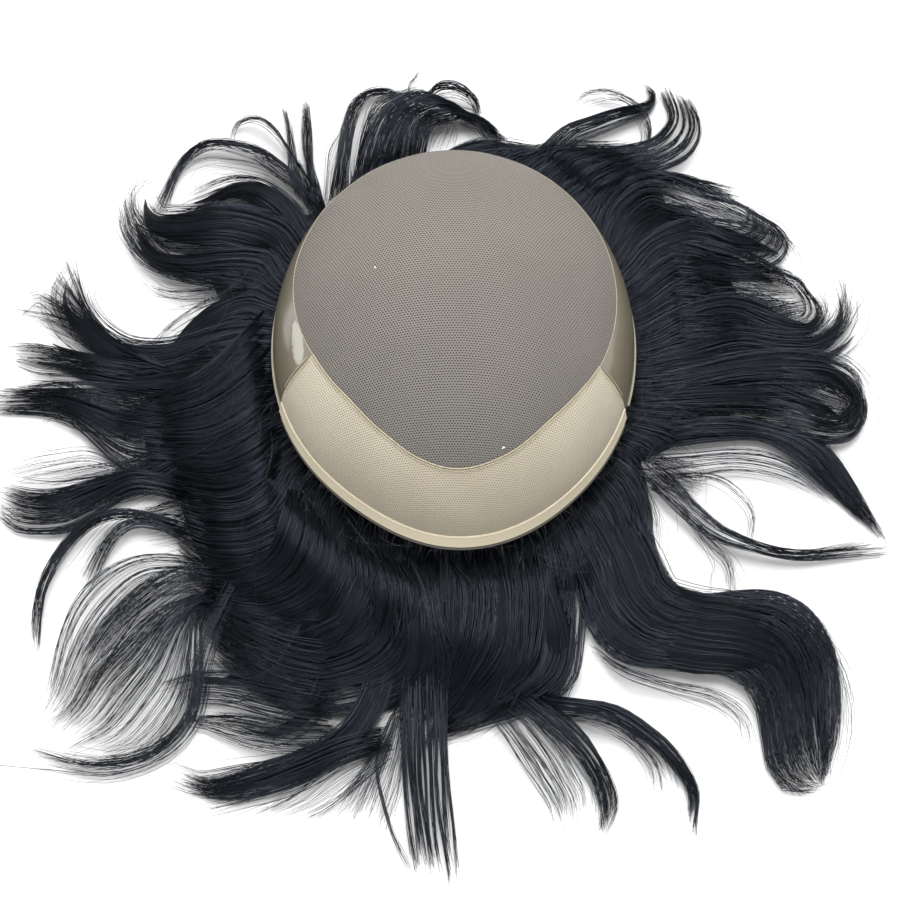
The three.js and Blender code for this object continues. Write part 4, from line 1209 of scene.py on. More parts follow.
FANS = (
    Fan("left_wing_tips", 190, 16,
        ((192, 474), (130, 468), (88, 475), (59, 484), (37, 488), (2, 484)),
        ((194, 500), (134, 493), (103, 509), (88, 519), (66, 532), (37, 535), (15, 531),
         (2, 520))),
    Fan("left_wing_upper", 24, 8,
        ((160, 462), (122, 462), (88, 447), (59, 449), (29, 455), (2, 470)),
        ((165, 472), (128, 470), (88, 464), (59, 470), (29, 476), (2, 483)),
        loose=0.8, fine=0.6),
    Fan("left_hook_tips", 110, 10,
        ((190, 362), (152, 357), (121, 342), (97, 318), (82, 290), (73, 250)),
        ((190, 372), (150, 368), (116, 354), (84, 334), (50, 322), (12, 320))),
    Fan("left_hook_low", 96, 10, ((165, 362), (110, 356), (70, 348), (32, 340), (8, 344)),
        ((165, 384), (110, 380), (70, 374), (40, 374), (10, 366)), fine=0.8),
    Fan("left_middle_tips", 190, 14,
        ((180, 388), (110, 380), (60, 381), (29, 384), (-4, 388)),
        ((200, 476), (130, 470), (98, 446), (68, 421), (32, 412), (-4, 412))),
    Fan("thin_arc", 70, 3,
        ((190, 520), (150, 511), (112, 511), (84, 521), (56, 548), (38, 585), (33, 616), (36, 650)),
        ((190, 534), (152, 520), (116, 518), (91, 526), (64, 552), (45, 588), (41, 615),
         (40, 648)), arch=5),
    Fan("thin_arc_veil", 60, 16, ((185, 525), (150, 518), (120, 522), (100, 545), (80, 580)),
        ((190, 545), (165, 530), (135, 528), (112, 550), (92, 590)), loose=1.6, fine=0.75),
    Fan("veil_root", 100, 12,
        ((230, 562), (190, 562), (165, 568), (142, 580), (118, 598), (98, 622), (82, 648)),
        ((230, 612), (195, 608), (174, 626), (154, 650), (130, 676), (108, 702), (90, 720)),
        arch=3, loose=0.5, fine=0.85),
    Fan("upper_veil", 92, 24,
        ((205, 556), (171, 550), (120, 556), (85, 580), (62, 620), (52, 665), (47, 700)),
        ((208, 585), (185, 590), (150, 600), (120, 640), (95, 680), (70, 715), (50, 728)),
        arch=4, loose=0.6, fine=0.7),
    Fan("lower_veil", 156, 30,
        ((215, 585), (190, 593), (145, 610), (116, 639), (87, 664), (68, 700), (49, 725)),
        ((218, 600), (194, 616), (190, 650), (186, 690), (170, 724), (140, 752), (100, 762)),
        arch=4, loose=0.6, fine=0.7),
    Fan("veil_edge", 46, 3,
        ((225, 596), (198, 612), (194, 650), (192, 690), (180, 722), (155, 748), (120, 760),
         (80, 762), (36, 748)),
        ((230, 604), (205, 614), (203, 650), (201, 690), (190, 722), (162, 752), (125, 766),
         (84, 768), (38, 752)), arch=4, loose=0.5, fine=0.8),
    Fan("thin_arc_roots", 56, 8, ((215, 500), (180, 496), (160, 500), (136, 509)),
        ((222, 560), (200, 556), (180, 542), (158, 526))),
    Fan("left_main", 260, 26, ((272, 296), (238, 338), (196, 374), (152, 396), (112, 402)),
        ((292, 462), (258, 494), (216, 502), (178, 490), (136, 474)), rise=12),
    Fan("low_left_fill", 150, 16, ((285, 460), (240, 492), (202, 494), (168, 480)),
        ((300, 560), (255, 580), (208, 576), (174, 548)), rise=10),
    Fan("swirl_high", 300, 26,
        ((290, 462), (284, 510), (262, 556), (225, 572), (184, 560)),
        ((330, 508), (352, 566), (340, 610), (292, 632), (235, 622), (196, 604)), loose=0.5),
    Fan("swirl_low", 360, 32,
        ((330, 508), (352, 566), (340, 610), (292, 632), (235, 622), (196, 604)),
        ((400, 540), (432, 590), (438, 640), (415, 688), (345, 714), (268, 700), (212, 660)),
        loose=0.5),
    Fan("front_fold", 130, 12, ((396, 536), (420, 584), (430, 626), (434, 668), (430, 700)),
        ((440, 546), (438, 590), (446, 632), (454, 662), (452, 700)), loose=0.7),
    Fan("front_sweep", 340, 30,
        ((440, 546), (462, 586), (460, 626), (450, 664), (440, 704), (428, 738)),
        ((584, 530), (587, 580), (586, 634), (576, 682), (538, 708), (478, 726), (430, 742)),
        loose=0.6),
    Fan("swirl_edge", 130, 18, ((350, 615), (300, 612), (240, 600), (190, 588)),
        ((345, 705), (285, 692), (240, 666), (196, 630)), rise=9, arch=1),
    Fan("swirl_veil", 100, 16, ((330, 690), (290, 684), (255, 675), (221, 669), (190, 672),
                                (158, 680)),
        ((335, 726), (290, 721), (262, 714), (230, 705), (200, 704), (182, 716)), fine=0.8),
    Fan("swirl_veil_low", 80, 12, ((345, 722), (300, 722), (262, 714), (225, 712), (188, 716)),
        ((350, 748), (300, 752), (262, 750), (228, 741), (200, 728), (184, 727)), fine=0.8),
    Fan("outer_sweep", 200, 18,
        ((385, 722), (330, 735), (280, 754), (240, 768), (208, 776), (188, 772)),
        ((395, 745), (350, 760), (300, 781), (252, 796), (212, 799), (188, 792)), fine=0.9),
    Fan("outer_sweep_fringe", 40, 14, ((380, 745), (330, 765), (285, 795), (245, 812)),
        ((395, 752), (370, 775), (345, 800), (305, 822)), loose=0.8, fine=0.7),
    Fan("beside_tuft", 70, 16, ((395, 705), (378, 738), (355, 775), (330, 812)),
        ((408, 705), (404, 750), (398, 790), (388, 828)), loose=0.9, fine=0.7),
    Fan("beside_tuft_thread", 10, 2, ((378, 730), (375, 770), (387, 820), (411, 871)),
        ((381, 730), (378, 770), (390, 818), (414, 872))),
    Fan("front_tuft", 190, 9,
        ((401, 640), (399, 700), (401, 750), (404, 795), (409, 840), (416, 884)),
        ((446, 640), (448, 700), (448, 750), (450, 795), (455, 840), (459, 874)), loose=0.25),
    Fan("front_right_fine", 76, 16,
        ((500, 690), (540, 718), (566, 745), (582, 770), (592, 792), (588, 814)),
        ((470, 700), (492, 720), (515, 752), (532, 778), (547, 805), (556, 830)),
        loose=0.6, fine=0.7),
    Fan("front_right_inner", 140, 7,
        ((520, 680), (556, 703), (586, 733), (604, 760), (614, 785), (616, 805), (611, 825)),
        ((495, 690), (523, 712), (556, 738), (579, 762), (594, 790), (600, 812), (598, 836)),
        loose=0.3, fine=0.8),
    Fan("front_right_outer", 180, 6,
        ((525, 680), (562, 695), (618, 703), (657, 728), (686, 760), (701, 790), (697, 824)),
        ((520, 700), (560, 708), (606, 716), (644, 738), (670, 764), (688, 794), (688, 822)),
        arch=3, loose=0.25, fine=0.9),
    Fan("front_right_outer_fringe", 40, 10,
        ((560, 706), (612, 716), (648, 738), (672, 765), (682, 795)),
        ((555, 716), (598, 726), (630, 742), (650, 770), (650, 800)), loose=0.8, fine=0.7),
    Fan("great_wave", 520, 26,
        ((634, 430), (648, 480), (651, 520), (658, 548), (670, 576), (697, 592), (734, 587),
         (772, 586), (803, 599), (826, 624), (837, 650), (841, 690), (838, 730), (826, 768)),
        ((570, 560), (578, 598), (590, 630), (608, 652), (634, 665), (680, 669), (720, 672),
         (748, 688), (760, 716), (765, 746), (771, 772), (786, 790), (800, 794), (812, 790)),
        rise=9, arch=4, loose=0.5, fine=1.15, bunch=0.35),
    Fan("great_wave_fringe", 26, 8,
        ((590, 640), (620, 665), (665, 680), (715, 690), (745, 712), (752, 740)),
        ((600, 655), (630, 680), (675, 692), (715, 705), (742, 730), (745, 755)),
        loose=1.4, fine=0.7),
    Fan("right_streak", 84, 8,
        ((650, 455), (672, 472), (702, 505), (732, 529), (768, 545), (804, 550), (842, 546),
         (882, 541)),
        ((640, 466), (654, 488), (684, 517), (718, 541), (760, 554), (797, 560), (842, 557),
         (888, 553)), arch=3, fine=0.8),
    Fan("right_streak_tuft", 20, 5, ((680, 500), (715, 538), (732, 560), (738, 588)),
        ((672, 505), (705, 545), (724, 565), (728, 590)), loose=1.0, fine=0.7),
    Fan("right_gap_edge", 40, 8, ((645, 470), (650, 510), (656, 548), (672, 583)),
        ((632, 480), (640, 520), (646, 556), (664, 590)), loose=0.7, fine=0.8),
    Fan("right_gap_loop", 9, 3, ((668, 470), (712, 474), (741, 489), (756, 512), (755, 540)),
        ((668, 476), (712, 482), (736, 496), (749, 516), (750, 540)), arch=6),
    Fan("right_wing", 300, 18,
        ((640, 420), (720, 414), (775, 422), (822, 438), (850, 470), (867, 503), (885, 538)),
        ((640, 444), (706, 441), (762, 438), (793, 456), (820, 482), (846, 505), (872, 528)),
        arch=2),
    Fan("right_wing_veil", 46, 16, ((636, 446), (700, 447), (766, 446), (800, 462), (840, 500)),
        ((640, 478), (690, 478), (738, 474), (788, 482), (838, 506)), loose=1.0, fine=0.7),
    Fan("right_wing_roots", 70, 10, ((632, 444), (655, 450), (680, 456), (708, 462)),
        ((632, 480), (652, 490), (674, 502), (696, 516)), loose=0.7, fine=0.8),
    Fan("right_low_curl", 130, 8,
        ((740, 425), (790, 438), (825, 442), (852, 438), (864, 424), (867, 404), (860, 384)),
        ((740, 385), (780, 397), (815, 410), (838, 412), (850, 404), (853, 391), (846, 377)),
        arch=3, loose=0.4),
    Fan("right_low_fill", 110, 9, ((740, 350), (785, 352), (822, 361), (848, 375), (862, 393)),
        ((740, 388), (780, 398), (815, 412), (842, 418), (860, 416)), loose=0.6),
    Fan("right_spiral", 46, 6,
        ((760, 262), (780, 270), (802, 281), (813, 294), (822, 304), (822, 317), (813, 326),
         (799, 328)),
        ((760, 275), (782, 281), (797, 288), (804, 298), (805, 308), (800, 314), (796, 318),
         (790, 320)), loose=0.3, fine=0.8),
    Fan("right_plume", 34, 9,
        ((740, 340), (785, 332), (815, 332), (834, 318), (842, 300), (842, 284), (835, 265)),
        ((740, 352), (790, 352), (824, 353), (845, 338), (856, 322), (862, 312), (870, 305)),
        loose=0.6, fine=0.7),
    Fan("right_knot", 54, 8,
        ((740, 355), (799, 358), (831, 356), (852, 362), (861, 372), (863, 386)),
        ((740, 378), (802, 372), (840, 380), (856, 392), (862, 404), (860, 412)),
        loose=0.5, fine=0.8),
    Fan("right_upper_fill", 180, 14, ((650, 245), (700, 254), (745, 258), (778, 262), (800, 272)),
        ((660, 340), (705, 340), (745, 340), (780, 336), (804, 324)), loose=0.6),
    Fan("right_comb_curls", 110, 8,
        ((650, 196), (692, 206), (719, 223), (738, 224), (748, 216), (746, 207), (736, 201)),
        ((660, 250), (705, 262), (750, 268), (779, 262), (791, 250), (790, 240), (778, 227)),
        arch=3, loose=0.3),
    Fan("right_comb_rim", 36, 4, ((700, 190), (738, 202), (760, 214), (780, 228), (792, 250)),
        ((700, 200), (736, 210), (757, 221), (776, 236), (788, 262)), loose=0.7),
    Fan("right_comb_top", 70, 4, ((600, 180), (640, 170), (675, 172), (710, 180), (732, 186)),
        ((610, 195), (650, 184), (690, 184), (715, 194), (738, 202)), arch=2),
    Fan("back_right_curls", 200, 7,
        ((585, 143), (620, 142), (648, 138), (660, 128), (668, 112), (663, 97), (655, 83)),
        ((600, 178), (640, 174), (667, 168), (686, 158), (697, 144), (702, 127), (698, 110),
         (689, 97)), arch=3, loose=0.25, fine=0.85, bunch=0.8),
    Fan("back_right_roots", 130, 14, ((528, 158), (536, 146), (556, 142), (590, 141), (630, 141)),
        ((588, 206), (600, 190), (622, 178), (648, 170), (672, 166)), loose=0.6),
    Fan("back_right_bundle", 140, 5,
        ((530, 152), (545, 139), (561, 123), (581, 116), (603, 110), (625, 104), (641, 100),
         (649, 98), (652, 92), (642, 86)),
        ((550, 165), (560, 152), (568, 145), (581, 134), (603, 127), (622, 120), (642, 113),
         (652, 107), (655, 98), (650, 88)), arch=5, loose=0.3, fine=0.85),
    Fan("back_right_thread", 18, 2,
        ((646, 140), (649, 128), (644, 111), (632, 100), (614, 92), (602, 92), (584, 95),
         (572, 106)),
        ((650, 141), (653, 126), (647, 109), (633, 98), (615, 91), (602, 90), (583, 93),
         (571, 105)), arch=5, loose=0.2, fine=0.7),
    Fan("back_arch_outer", 84, 4,
        ((328, 203), (334, 170), (341, 130), (347, 108), (354, 95), (371, 85), (386, 87),
         (399, 94)),
        ((344, 192), (349, 165), (353, 130), (357, 112), (364, 99), (374, 92), (388, 92),
         (402, 98)), arch=8, loose=0.4, fine=0.85),
    Fan("back_arch_veil", 40, 6,
        ((352, 175), (362, 135), (371, 104), (381, 93), (396, 89), (409, 87)),
        ((358, 160), (368, 130), (378, 110), (390, 97), (402, 92), (414, 90)),
        arch=9, loose=0.5, fine=0.7),
    Fan("back_arch_main", 300, 12,
        ((345, 192), (352, 170), (362, 138), (374, 113), (390, 96), (409, 87), (425, 92),
         (440, 98), (452, 107), (470, 112), (484, 119), (500, 137)),
        ((424, 158), (426, 142), (430, 128), (437, 119), (443, 117), (450, 117), (456, 117),
         (462, 117), (470, 119), (480, 124), (490, 131), (502, 141)),
        rise=9, arch=10, loose=0.4),
    Fan("back_top_spike", 10, 2, ((409, 96), (407, 88), (413, 77), (420, 69)),
        ((412, 96), (410, 88), (415, 77), (421, 70)), rise=12, arch=0, fine=0.7),
    Fan("back_small_loop", 60, 5,
        ((424, 98), (425, 91), (435, 83), (445, 80), (460, 84), (473, 93), (479, 103),
         (480, 116)),
        ((436, 104), (434, 97), (441, 92), (450, 90), (461, 92), (470, 99), (474, 106),
         (476, 118)), arch=8, loose=0.4, fine=0.8),
    Fan("back_inner_threads", 16, 6, ((440, 117), (434, 126), (428, 136), (421, 148)),
        ((454, 118), (461, 130), (458, 140), (455, 146)), arch=5, loose=1.0, fine=0.7),
    Fan("back_middle_threads", 24, 6, ((456, 117), (470, 125), (480, 135), (486, 142)),
        ((470, 118), (484, 126), (492, 136), (498, 142)), arch=4, loose=1.0, fine=0.7),
    Fan("back_left_spike", 64, 3, ((311, 200), (307, 170), (303, 150), (303, 120), (305, 104)),
        ((322, 200), (314, 170), (312, 150), (311, 122), (309, 104)), fine=0.8),
    Fan("back_left_spike_thin", 44, 3,
        ((296, 196), (289, 170), (287, 141), (284, 120), (279, 100)),
        ((308, 196), (299, 175), (295, 141), (290, 121), (286, 107)), fine=0.7),
    Fan("back_left_wisps", 12, 5, ((322, 200), (326, 166), (331, 143), (341, 128)),
        ((330, 205), (333, 170), (338, 150), (346, 130)), loose=0.8, fine=0.6),
    Fan("left_upper_arc", 92, 6,
        ((330, 216), (306, 186), (284, 161), (265, 147), (239, 140), (216, 138), (198, 142),
         (182, 155), (172, 172), (163, 192), (152, 212)),
        ((322, 224), (296, 190), (277, 176), (258, 158), (237, 150), (211, 146), (192, 155),
         (179, 172), (173, 190), (168, 212)), arch=5, loose=0.4, fine=0.8),
    Fan("back_left_roots", 80, 8, ((324, 214), (308, 197), (297, 182), (286, 165)),
        ((328, 208), (321, 192), (317, 178), (314, 160)), fine=0.9),
    Fan("left_arc_threads", 14, 7,
        ((292, 185), (271, 168), (252, 158), (232, 154), (207, 152), (192, 160), (181, 173)),
        ((294, 192), (270, 182), (250, 176), (232, 172), (214, 172), (196, 178), (182, 190)),
        arch=3, loose=1.0, fine=0.5),
    Fan("left_small_arc", 34, 5,
        ((300, 165), (288, 146), (273, 126), (256, 114), (247, 114), (238, 119), (233, 128),
         (231, 140)),
        ((305, 172), (290, 154), (277, 137), (262, 123), (250, 118), (241, 121), (235, 129),
         (233, 141)), arch=5, loose=0.4, fine=0.7),
    Fan("great_curl_edge", 44, 8,
        ((265, 290), (215, 288), (174, 279), (142, 260), (122, 234), (115, 206)),
        ((270, 275), (220, 272), (182, 258), (156, 238), (142, 212), (143, 190)), arch=3),
)


@dataclass(frozen=True)
class Flow:
    """A lock's course in numbers, evenly spaced along its length."""

    share: Array
    centre: Array
    side: Array
    half: Array
    top: Array
    lift: Array
    length: float

    def past(self) -> Array:
        """Give the distance past the rim that each point has gone along the lock."""
        return self.share * self.length - 9.0

    def stations(self, count_for: tuple[float, float], most: int) -> Array:
        """Share out the stations of a hair, closer together where the lock bends.

        Args:
            count_for: Millimetres and degrees of turn that one station covers.
            most: The most stations.

        Returns:
            Shares of the length, from 0 to 1.
        """
        step = np.diff(self.centre, axis=0)
        heading = np.unwrap(np.arctan2(step[:, 1], step[:, 0]))
        turn = np.abs(np.degrees(np.gradient(heading)))
        work = np.concatenate([[0.0], np.cumsum(
            np.linalg.norm(step, axis=1) / count_for[0] + turn / count_for[1])])
        inside = self.share <= 1
        total = work[inside][-1]
        count = int(np.clip(math.ceil(total) + 1, 8, most))
        return np.interp(np.linspace(0, total, count), work, self.share)

    def at(self, share: Array, values: Array) -> Array:
        """Read one of the lock's columns at any shares of its length."""
        return np.interp(share, self.share, values)


@dataclass
class Hair:
    """All hair on the table: the closed mass, the bodies of the locks and single hairs."""

    form: CapForm
    view: Viewpoint
    length: float = 152.0
    # Real hair is about 0.04 mm in radius; it is drawn coarser, so that it shows
    thickness: tuple[float, float] = (0.1, 0.18)
    short_count: int = 190
    loose_count: int = 170
    tip_width: float = 0.42
    reach_limit: float = 1.06
    usual_depth: float = 8.4
    wave_height: float = 2.2
    wave_length: float = 72.0
    ripple: float = 1.1
    ripple_length: float = 46.0
    generator: np.random.Generator = field(
        default_factory=lambda: np.random.default_rng(SEED))

    # True direction, and the mass's reach past the rim as a share of the hair's length
    MASS_ROWS = (
        (0, 0.42), (12, 0.38), (24, 0.36), (38, 0.3), (46, 0.36), (52, 0.38), (58, 0.31),
        (66, 0.25), (75, 0.21), (84, 0.17), (90, 0.1), (94, 0.03), (98, 0.1), (104, 0.17),
        (112, 0.16), (118, 0.12), (123, 0.05), (132, 0.12), (146, 0.33), (157, 0.29),
        (168, 0.15), (180, 0.33), (190, 0.42), (198, 0.43), (208, 0.38), (226, 0.44),
        (240, 0.42), (252, 0.46), (268, 0.48), (276, 0.49), (284, 0.44), (292, 0.17),
        (304, 0.3), (316, 0.12), (330, 0.09), (342, 0.22), (352, 0.38),
    )

    def flow(self, lock: Lock) -> Flow:
        """Work out a lock's course from its row.

        Args:
            lock: The lock.

        Returns:
            Its course, carried on a little past its end.
        """
        inside = self.form.table_place(np.array([lock.root, lock.root]), np.array([-9.0, 5.0]))
        path = np.array(lock.path, float)
        points = np.vstack([inside, self.form.table_place(path[:, 0], path[:, 1] * self.length)])
        line = smooth_path(points, 120)
        step = np.linalg.norm(line[1] - line[0])
        onward = line[-1] + (line[-1] - line[-3]) / 2 * np.arange(1, 19)[:, None]
        centre = np.vstack([line, onward])
        share = np.arange(len(centre)) / (len(line) - 1)
        ahead = np.gradient(centre, axis=0)
        ahead /= np.linalg.norm(ahead, axis=1, keepdims=True)
        side = np.cross(np.array([0.0, 0.0, 1.0]), ahead)
        fade = np.clip(share, 0, 1) ** 3
        swell = np.minimum(1, 0.85 + 0.6 * share) * (1 - (1 - self.tip_width) * fade)
        settle = smooth((share - 0.06) / 0.5)
        long = step * (len(line) - 1)
        depth = lock.depth * self.length / self.usual_depth * (1 - 0.4 * fade)
        top = self.crest(share * long - 9.0) * (1 + (depth - 1) * settle)
        lift = lock.lift * self.length * np.sin(np.pi * np.clip(share, 0, 1)) ** 2 * settle
        return Flow(share, centre, side, lock.width * self.length * swell / 2, top, lift, long)

    def crest(self, past: Array) -> Array:
        """Give the hair's height at a distance past the rim, as its loose waves rise and fall.

        Args:
            past: Distances past the rim.

        Returns:
            Heights over the table.
        """
        mean = 10.2 - 5.2 * np.clip(past / 115, 0, 1)
        ease = 1 - 0.45 * np.clip(past / 115, 0, 1)
        return mean + self.wave_height * ease * np.cos(2 * np.pi * (past - 23) / self.wave_length)

    def strands(self, lock: Lock) -> tuple[Array, Array, Array]:
        """Grow the single hairs of one lock.

        Args:
            lock: The lock.

        Returns:
            Sections by hair, station and corner, their flat places, and tones.
        """
        rule = LAY_RULES[lock.lay]
        flow = self.flow(lock)
        pick = self.generator
        width = lock.width * self.length
        count = max(int(rule.hairs_a_mm * width), 14)
        clumps = max(int(round(width / rule.point_spacing)), 3)
        middle = np.linspace(-1, 1, clumps) + pick.normal(0, 0.35 / clumps, clumps)
        start = np.sort(pick.uniform(-1, 1, count))
        clump = np.abs(start[:, None] + pick.normal(0, 0.25 / clumps, (count, 1))
                       - middle[None]).argmin(axis=1)
        reach = (pick.uniform(0.84, 1.02, clumps))[clump] * pick.triangular(0.74, 1.0, 1.03, count)
        reach = np.clip(reach, 0.45, self.reach_limit)
        first = np.where(pick.random(count) < 0.78, 0.0, pick.uniform(0.0, 0.3, count))
        local = flow.stations((12.0, 20.0), 20)
        share = first[:, None] + (reach - first)[:, None] * local[None]
        gather = rule.gather * smooth((share - 0.3) / 0.6)
        across = start[:, None] * (1 - gather) + middle[clump][:, None] * gather
        late = np.clip(share, 0, 1) ** 3
        across = across * (1 + lock.fan * late)
        drift = (pick.normal(0, 2.2, clumps))[clump][:, None] * late
        stray = np.where(pick.random(count) < 0.07, 4.0, 1.0)
        loose = (pick.normal(0, rule.fray, count) * stray)[:, None] * (0.25 + 2.0 * late)
        beat = pick.uniform(0.8, 2.0, clumps)[clump] + pick.normal(0, 0.12, count)
        phase = pick.uniform(0, 6.3, clumps)[clump] + pick.normal(0, 0.3, count)
        wave = (0.35 + 1.1 * late) * np.sin(6.3 * beat[:, None] * share + phase[:, None])
        sideways = across * flow.at(share, flow.half) + drift + loose + wave
        centre = np.stack([flow.at(share, flow.centre[:, axis]) for axis in (0, 1)], -1)
        side = np.stack([flow.at(share, flow.side[:, axis]) for axis in (0, 1)], -1)
        level = centre + side * sideways[..., None]
        edge = np.clip(np.abs(start[:, None] * (1 - 0.4 * gather)), 0, 1)
        under = pick.uniform(0, 1, count) ** 2.2
        high = 1 - 0.55 * under[:, None]
        height = flow.at(share, flow.top) * np.sqrt(1 - 0.72 * edge**2) * high
        height += flow.at(share, flow.lift) + pick.normal(0, 0.25, (count, 1)) * (1 + late)
        height *= 1 - 0.35 * smooth((share - 0.75) / 0.3) * pick.uniform(0, 1, (count, 1))
        height += pick.normal(0, 0.7, clumps)[clump][:, None] * (1 - late)
        centre3 = np.concatenate([level, np.maximum(height, 0.35)[..., None]], -1)
        radius = pick.uniform(*self.thickness, count)[:, None] * (1 - 0.6 * local[None] ** 5)
        tone = pick.beta(0.8, 5.0, count) + 0.3 * pick.beta(0.8, 2.4, clumps)[clump]
        return self.tubes(centre3, radius, tone)

    def spray(self, fan: Fan) -> tuple[Array, Array, Array]:
        """Grow the single hairs of one fan.

        Args:
            fan: The fan.

        Returns:
            Sections by hair, station and corner, their flat places, and tones.
        """
        pick = self.generator
        edges = []
        for spots in (fan.first, fan.last):
            height = 0.9 * fan.height(np.linspace(0, 1, len(spots)))
            points = self.view.seen_at(np.array(spots, float), height)
            height = np.maximum(height, self.mass_top(points) + 1)
            line = smooth_path(self.view.seen_at(np.array(spots, float), height), 80)
            onward = line[-1] + (line[-1] - line[-3]) / 2 * np.arange(1, 9)[:, None]
            edges.append(np.vstack([line, onward]))
        step = np.diff((edges[0] + edges[1])[:80] / 2, axis=0)
        heading = np.unwrap(np.arctan2(step[:, 1], step[:, 0]))
        step = np.linalg.norm(step, axis=1)
        work = np.concatenate([[0.0], np.cumsum(
            step / 13 + np.abs(np.degrees(np.gradient(heading))) / 19)])
        stations = int(np.clip(math.ceil(work[-1]) + 1, 8, 16))
        local = np.interp(np.linspace(0, work[-1], stations), work, np.linspace(0, 1, 80))
        start = np.sort(pick.uniform(0, 1, fan.hairs))
        middle = (np.arange(fan.groups) + 0.5 + pick.uniform(-0.3, 0.3, fan.groups)) / fan.groups
        group = np.abs(start[:, None] + pick.normal(0, 0.2 / fan.groups, (fan.hairs, 1))
                       - middle[None]).argmin(axis=1)
        reach = pick.uniform(0.92, 1.03, fan.groups)[group] * pick.triangular(
            0.78, 1.0, 1.05, fan.hairs)
        first = pick.uniform(0, 0.1, fan.hairs) + np.where(
            pick.random(fan.hairs) < 0.8, 0.0, pick.uniform(0, 0.3, fan.hairs))
        share = first[:, None] + (reach - first)[:, None] * local[None]
        gather = fan.bunch * smooth((share - 0.15) / 0.6)
        across = start[:, None] * (1 - gather) + middle[group][:, None] * gather
        spot = np.clip(share * 79, 0, 87)
        low = np.clip(spot.astype(int), 0, 86)
        part = (spot - low)[..., None]
        one, two = (edge[low] * (1 - part) + edge[low + 1] * part for edge in edges)
        lines = one * (1 - across[..., None]) + two * across[..., None]
        late = np.clip(share, 0, 1) ** 2
        ahead = np.gradient(lines[..., :2], axis=1)
        ahead /= np.maximum(np.linalg.norm(ahead, axis=-1, keepdims=True), 1e-6)
        side = np.stack([-ahead[..., 1], ahead[..., 0]], -1)
        stray = np.where(pick.random(fan.hairs) < 0.06, 3.5, 1.0)
        shift = (pick.normal(0, fan.loose, fan.hairs) * stray)[:, None] * (0.3 + 1.3 * late)
        beat = pick.uniform(0.9, 2.0, fan.groups)[group] + pick.normal(0, 0.1, fan.hairs)
        phase = pick.uniform(0, 6.3, fan.groups)[group] + pick.normal(0, 0.25, fan.hairs)
        shift = shift + (0.2 + 0.5 * late) * np.sin(6.3 * beat[:, None] * share + phase[:, None])
        lines[..., :2] += side * shift[..., None]
        under = pick.uniform(0, 1, (fan.hairs, 1)) ** 2
        crown = 1 - 0.45 * (2 * start[:, None] - 1) ** 2
        height = fan.height(np.clip(share, 0, 1)) * crown * (1.15 - 0.5 * under)
        height = np.maximum(height, self.mass_top(lines) + 2.4 * (1 - under))
        beats = 2 * np.pi * step.sum() / self.ripple_length
        height += self.ripple * np.sin(beats * share + pick.uniform(0, 6.3)) * (1 - late)
        height *= 0.6 + 0.4 * smooth(share / 0.25)
        height += pick.normal(0, 0.7, fan.groups)[group][:, None] * (1 - late)
        height += pick.normal(0, 0.3, (fan.hairs, 1))
        lines[..., 2] = np.maximum(height, 0.35)
        radius = fan.fine * pick.uniform(*self.thickness, fan.hairs)
        radius = radius[:, None] * (1 - 0.5 * local[None] ** 5)
        tone = pick.beta(0.8, 5.0, fan.hairs) + 0.3 * pick.beta(0.8, 2.4, fan.groups)[group]
        return self.tubes(lines, radius, tone)

    def mass_top(self, points: Array) -> Array:
        """Find how high the closed mass stands at any points.

        Args:
            points: Points in any arrangement.

        Returns:
            Heights, nothing where the points lie past the mass.
        """
        away = points[..., :2] - np.array(self.form.centre)
        direction = np.degrees(np.arctan2(away[..., 1], away[..., 0])).ravel()
        rim = self.form.table_place(direction, 0.0)[:, :2] - np.array(self.form.centre)
        past = np.linalg.norm(away, axis=-1).ravel() - np.linalg.norm(rim, axis=1)
        rows = np.array(self.MASS_ROWS, float)
        reach = np.interp(direction, rows[:, 0], rows[:, 1], period=360) * self.length * 0.88
        top = self.crest(past) * smooth((reach + 4 - past) / 16)
        return top.reshape(away.shape[:-1])

    def covering(self, count: int = 2300) -> list[tuple[Array, Array, Array]]:
        """Grow the hairs that lie over the closed mass, between the locks and on them.

        Args:
            count: How many hairs all round the rim.

        Returns:
            Sections, flat places and tones, in four groups.
        """
        pick = self.generator
        full = sorted((lock for lock in LOCKS if lock.width >= 0.07), key=lambda lock: lock.root)
        roots = np.array([lock.root for lock in full])
        gone = np.linspace(-9, 92, 52)
        turns, outs = [], []
        for lock in full:
            flow = self.flow(lock)
            away = flow.centre[:, :2] - np.array(self.form.centre)
            turn = np.degrees(np.unwrap(np.arctan2(away[:, 1], away[:, 0])))
            turn += 360 * np.round((lock.root - turn[0]) / 360)
            rim = self.form.table_place(turn, 0.0)[:, :2] - np.array(self.form.centre)
            out = np.linalg.norm(away, axis=1) - np.linalg.norm(rim, axis=1)
            turns.append(np.interp(gone, flow.past(), turn) - lock.root)
            outs.append(np.interp(gone, flow.past(), out))
        turns, outs = np.array(turns), np.array(outs)
        root = np.sort(pick.uniform(0, 360, count))
        after = np.searchsorted(roots, root) % len(full)
        before = after - 1
        gap = (roots[after] - roots[before]) % 360
        share = smooth(((root - roots[before]) % 360) / np.maximum(gap, 1e-6))[:, None]
        turn = root[:, None] + turns[before] * (1 - share) + turns[after] * share
        out = outs[before] * (1 - share) + outs[after] * share
        rows = np.array(self.MASS_ROWS, float)
        limit = np.interp(turn % 360, rows[:, 0], rows[:, 1], period=360) * self.length
        limit *= pick.uniform(0.8, 1.22, count)[:, None]
        beyond = (out > limit) & (gone > 8)
        last = np.where(beyond.any(axis=1), beyond.argmax(axis=1), len(gone) - 1)
        last = np.minimum(last, pick.integers(24, len(gone), count))
        first = np.where(pick.random(count) < 0.6, 0.0, pick.uniform(0, 0.35, count) * last)
        local = np.linspace(0, 1, 9)
        spot = first[:, None] + (last - first)[:, None] * local[None]
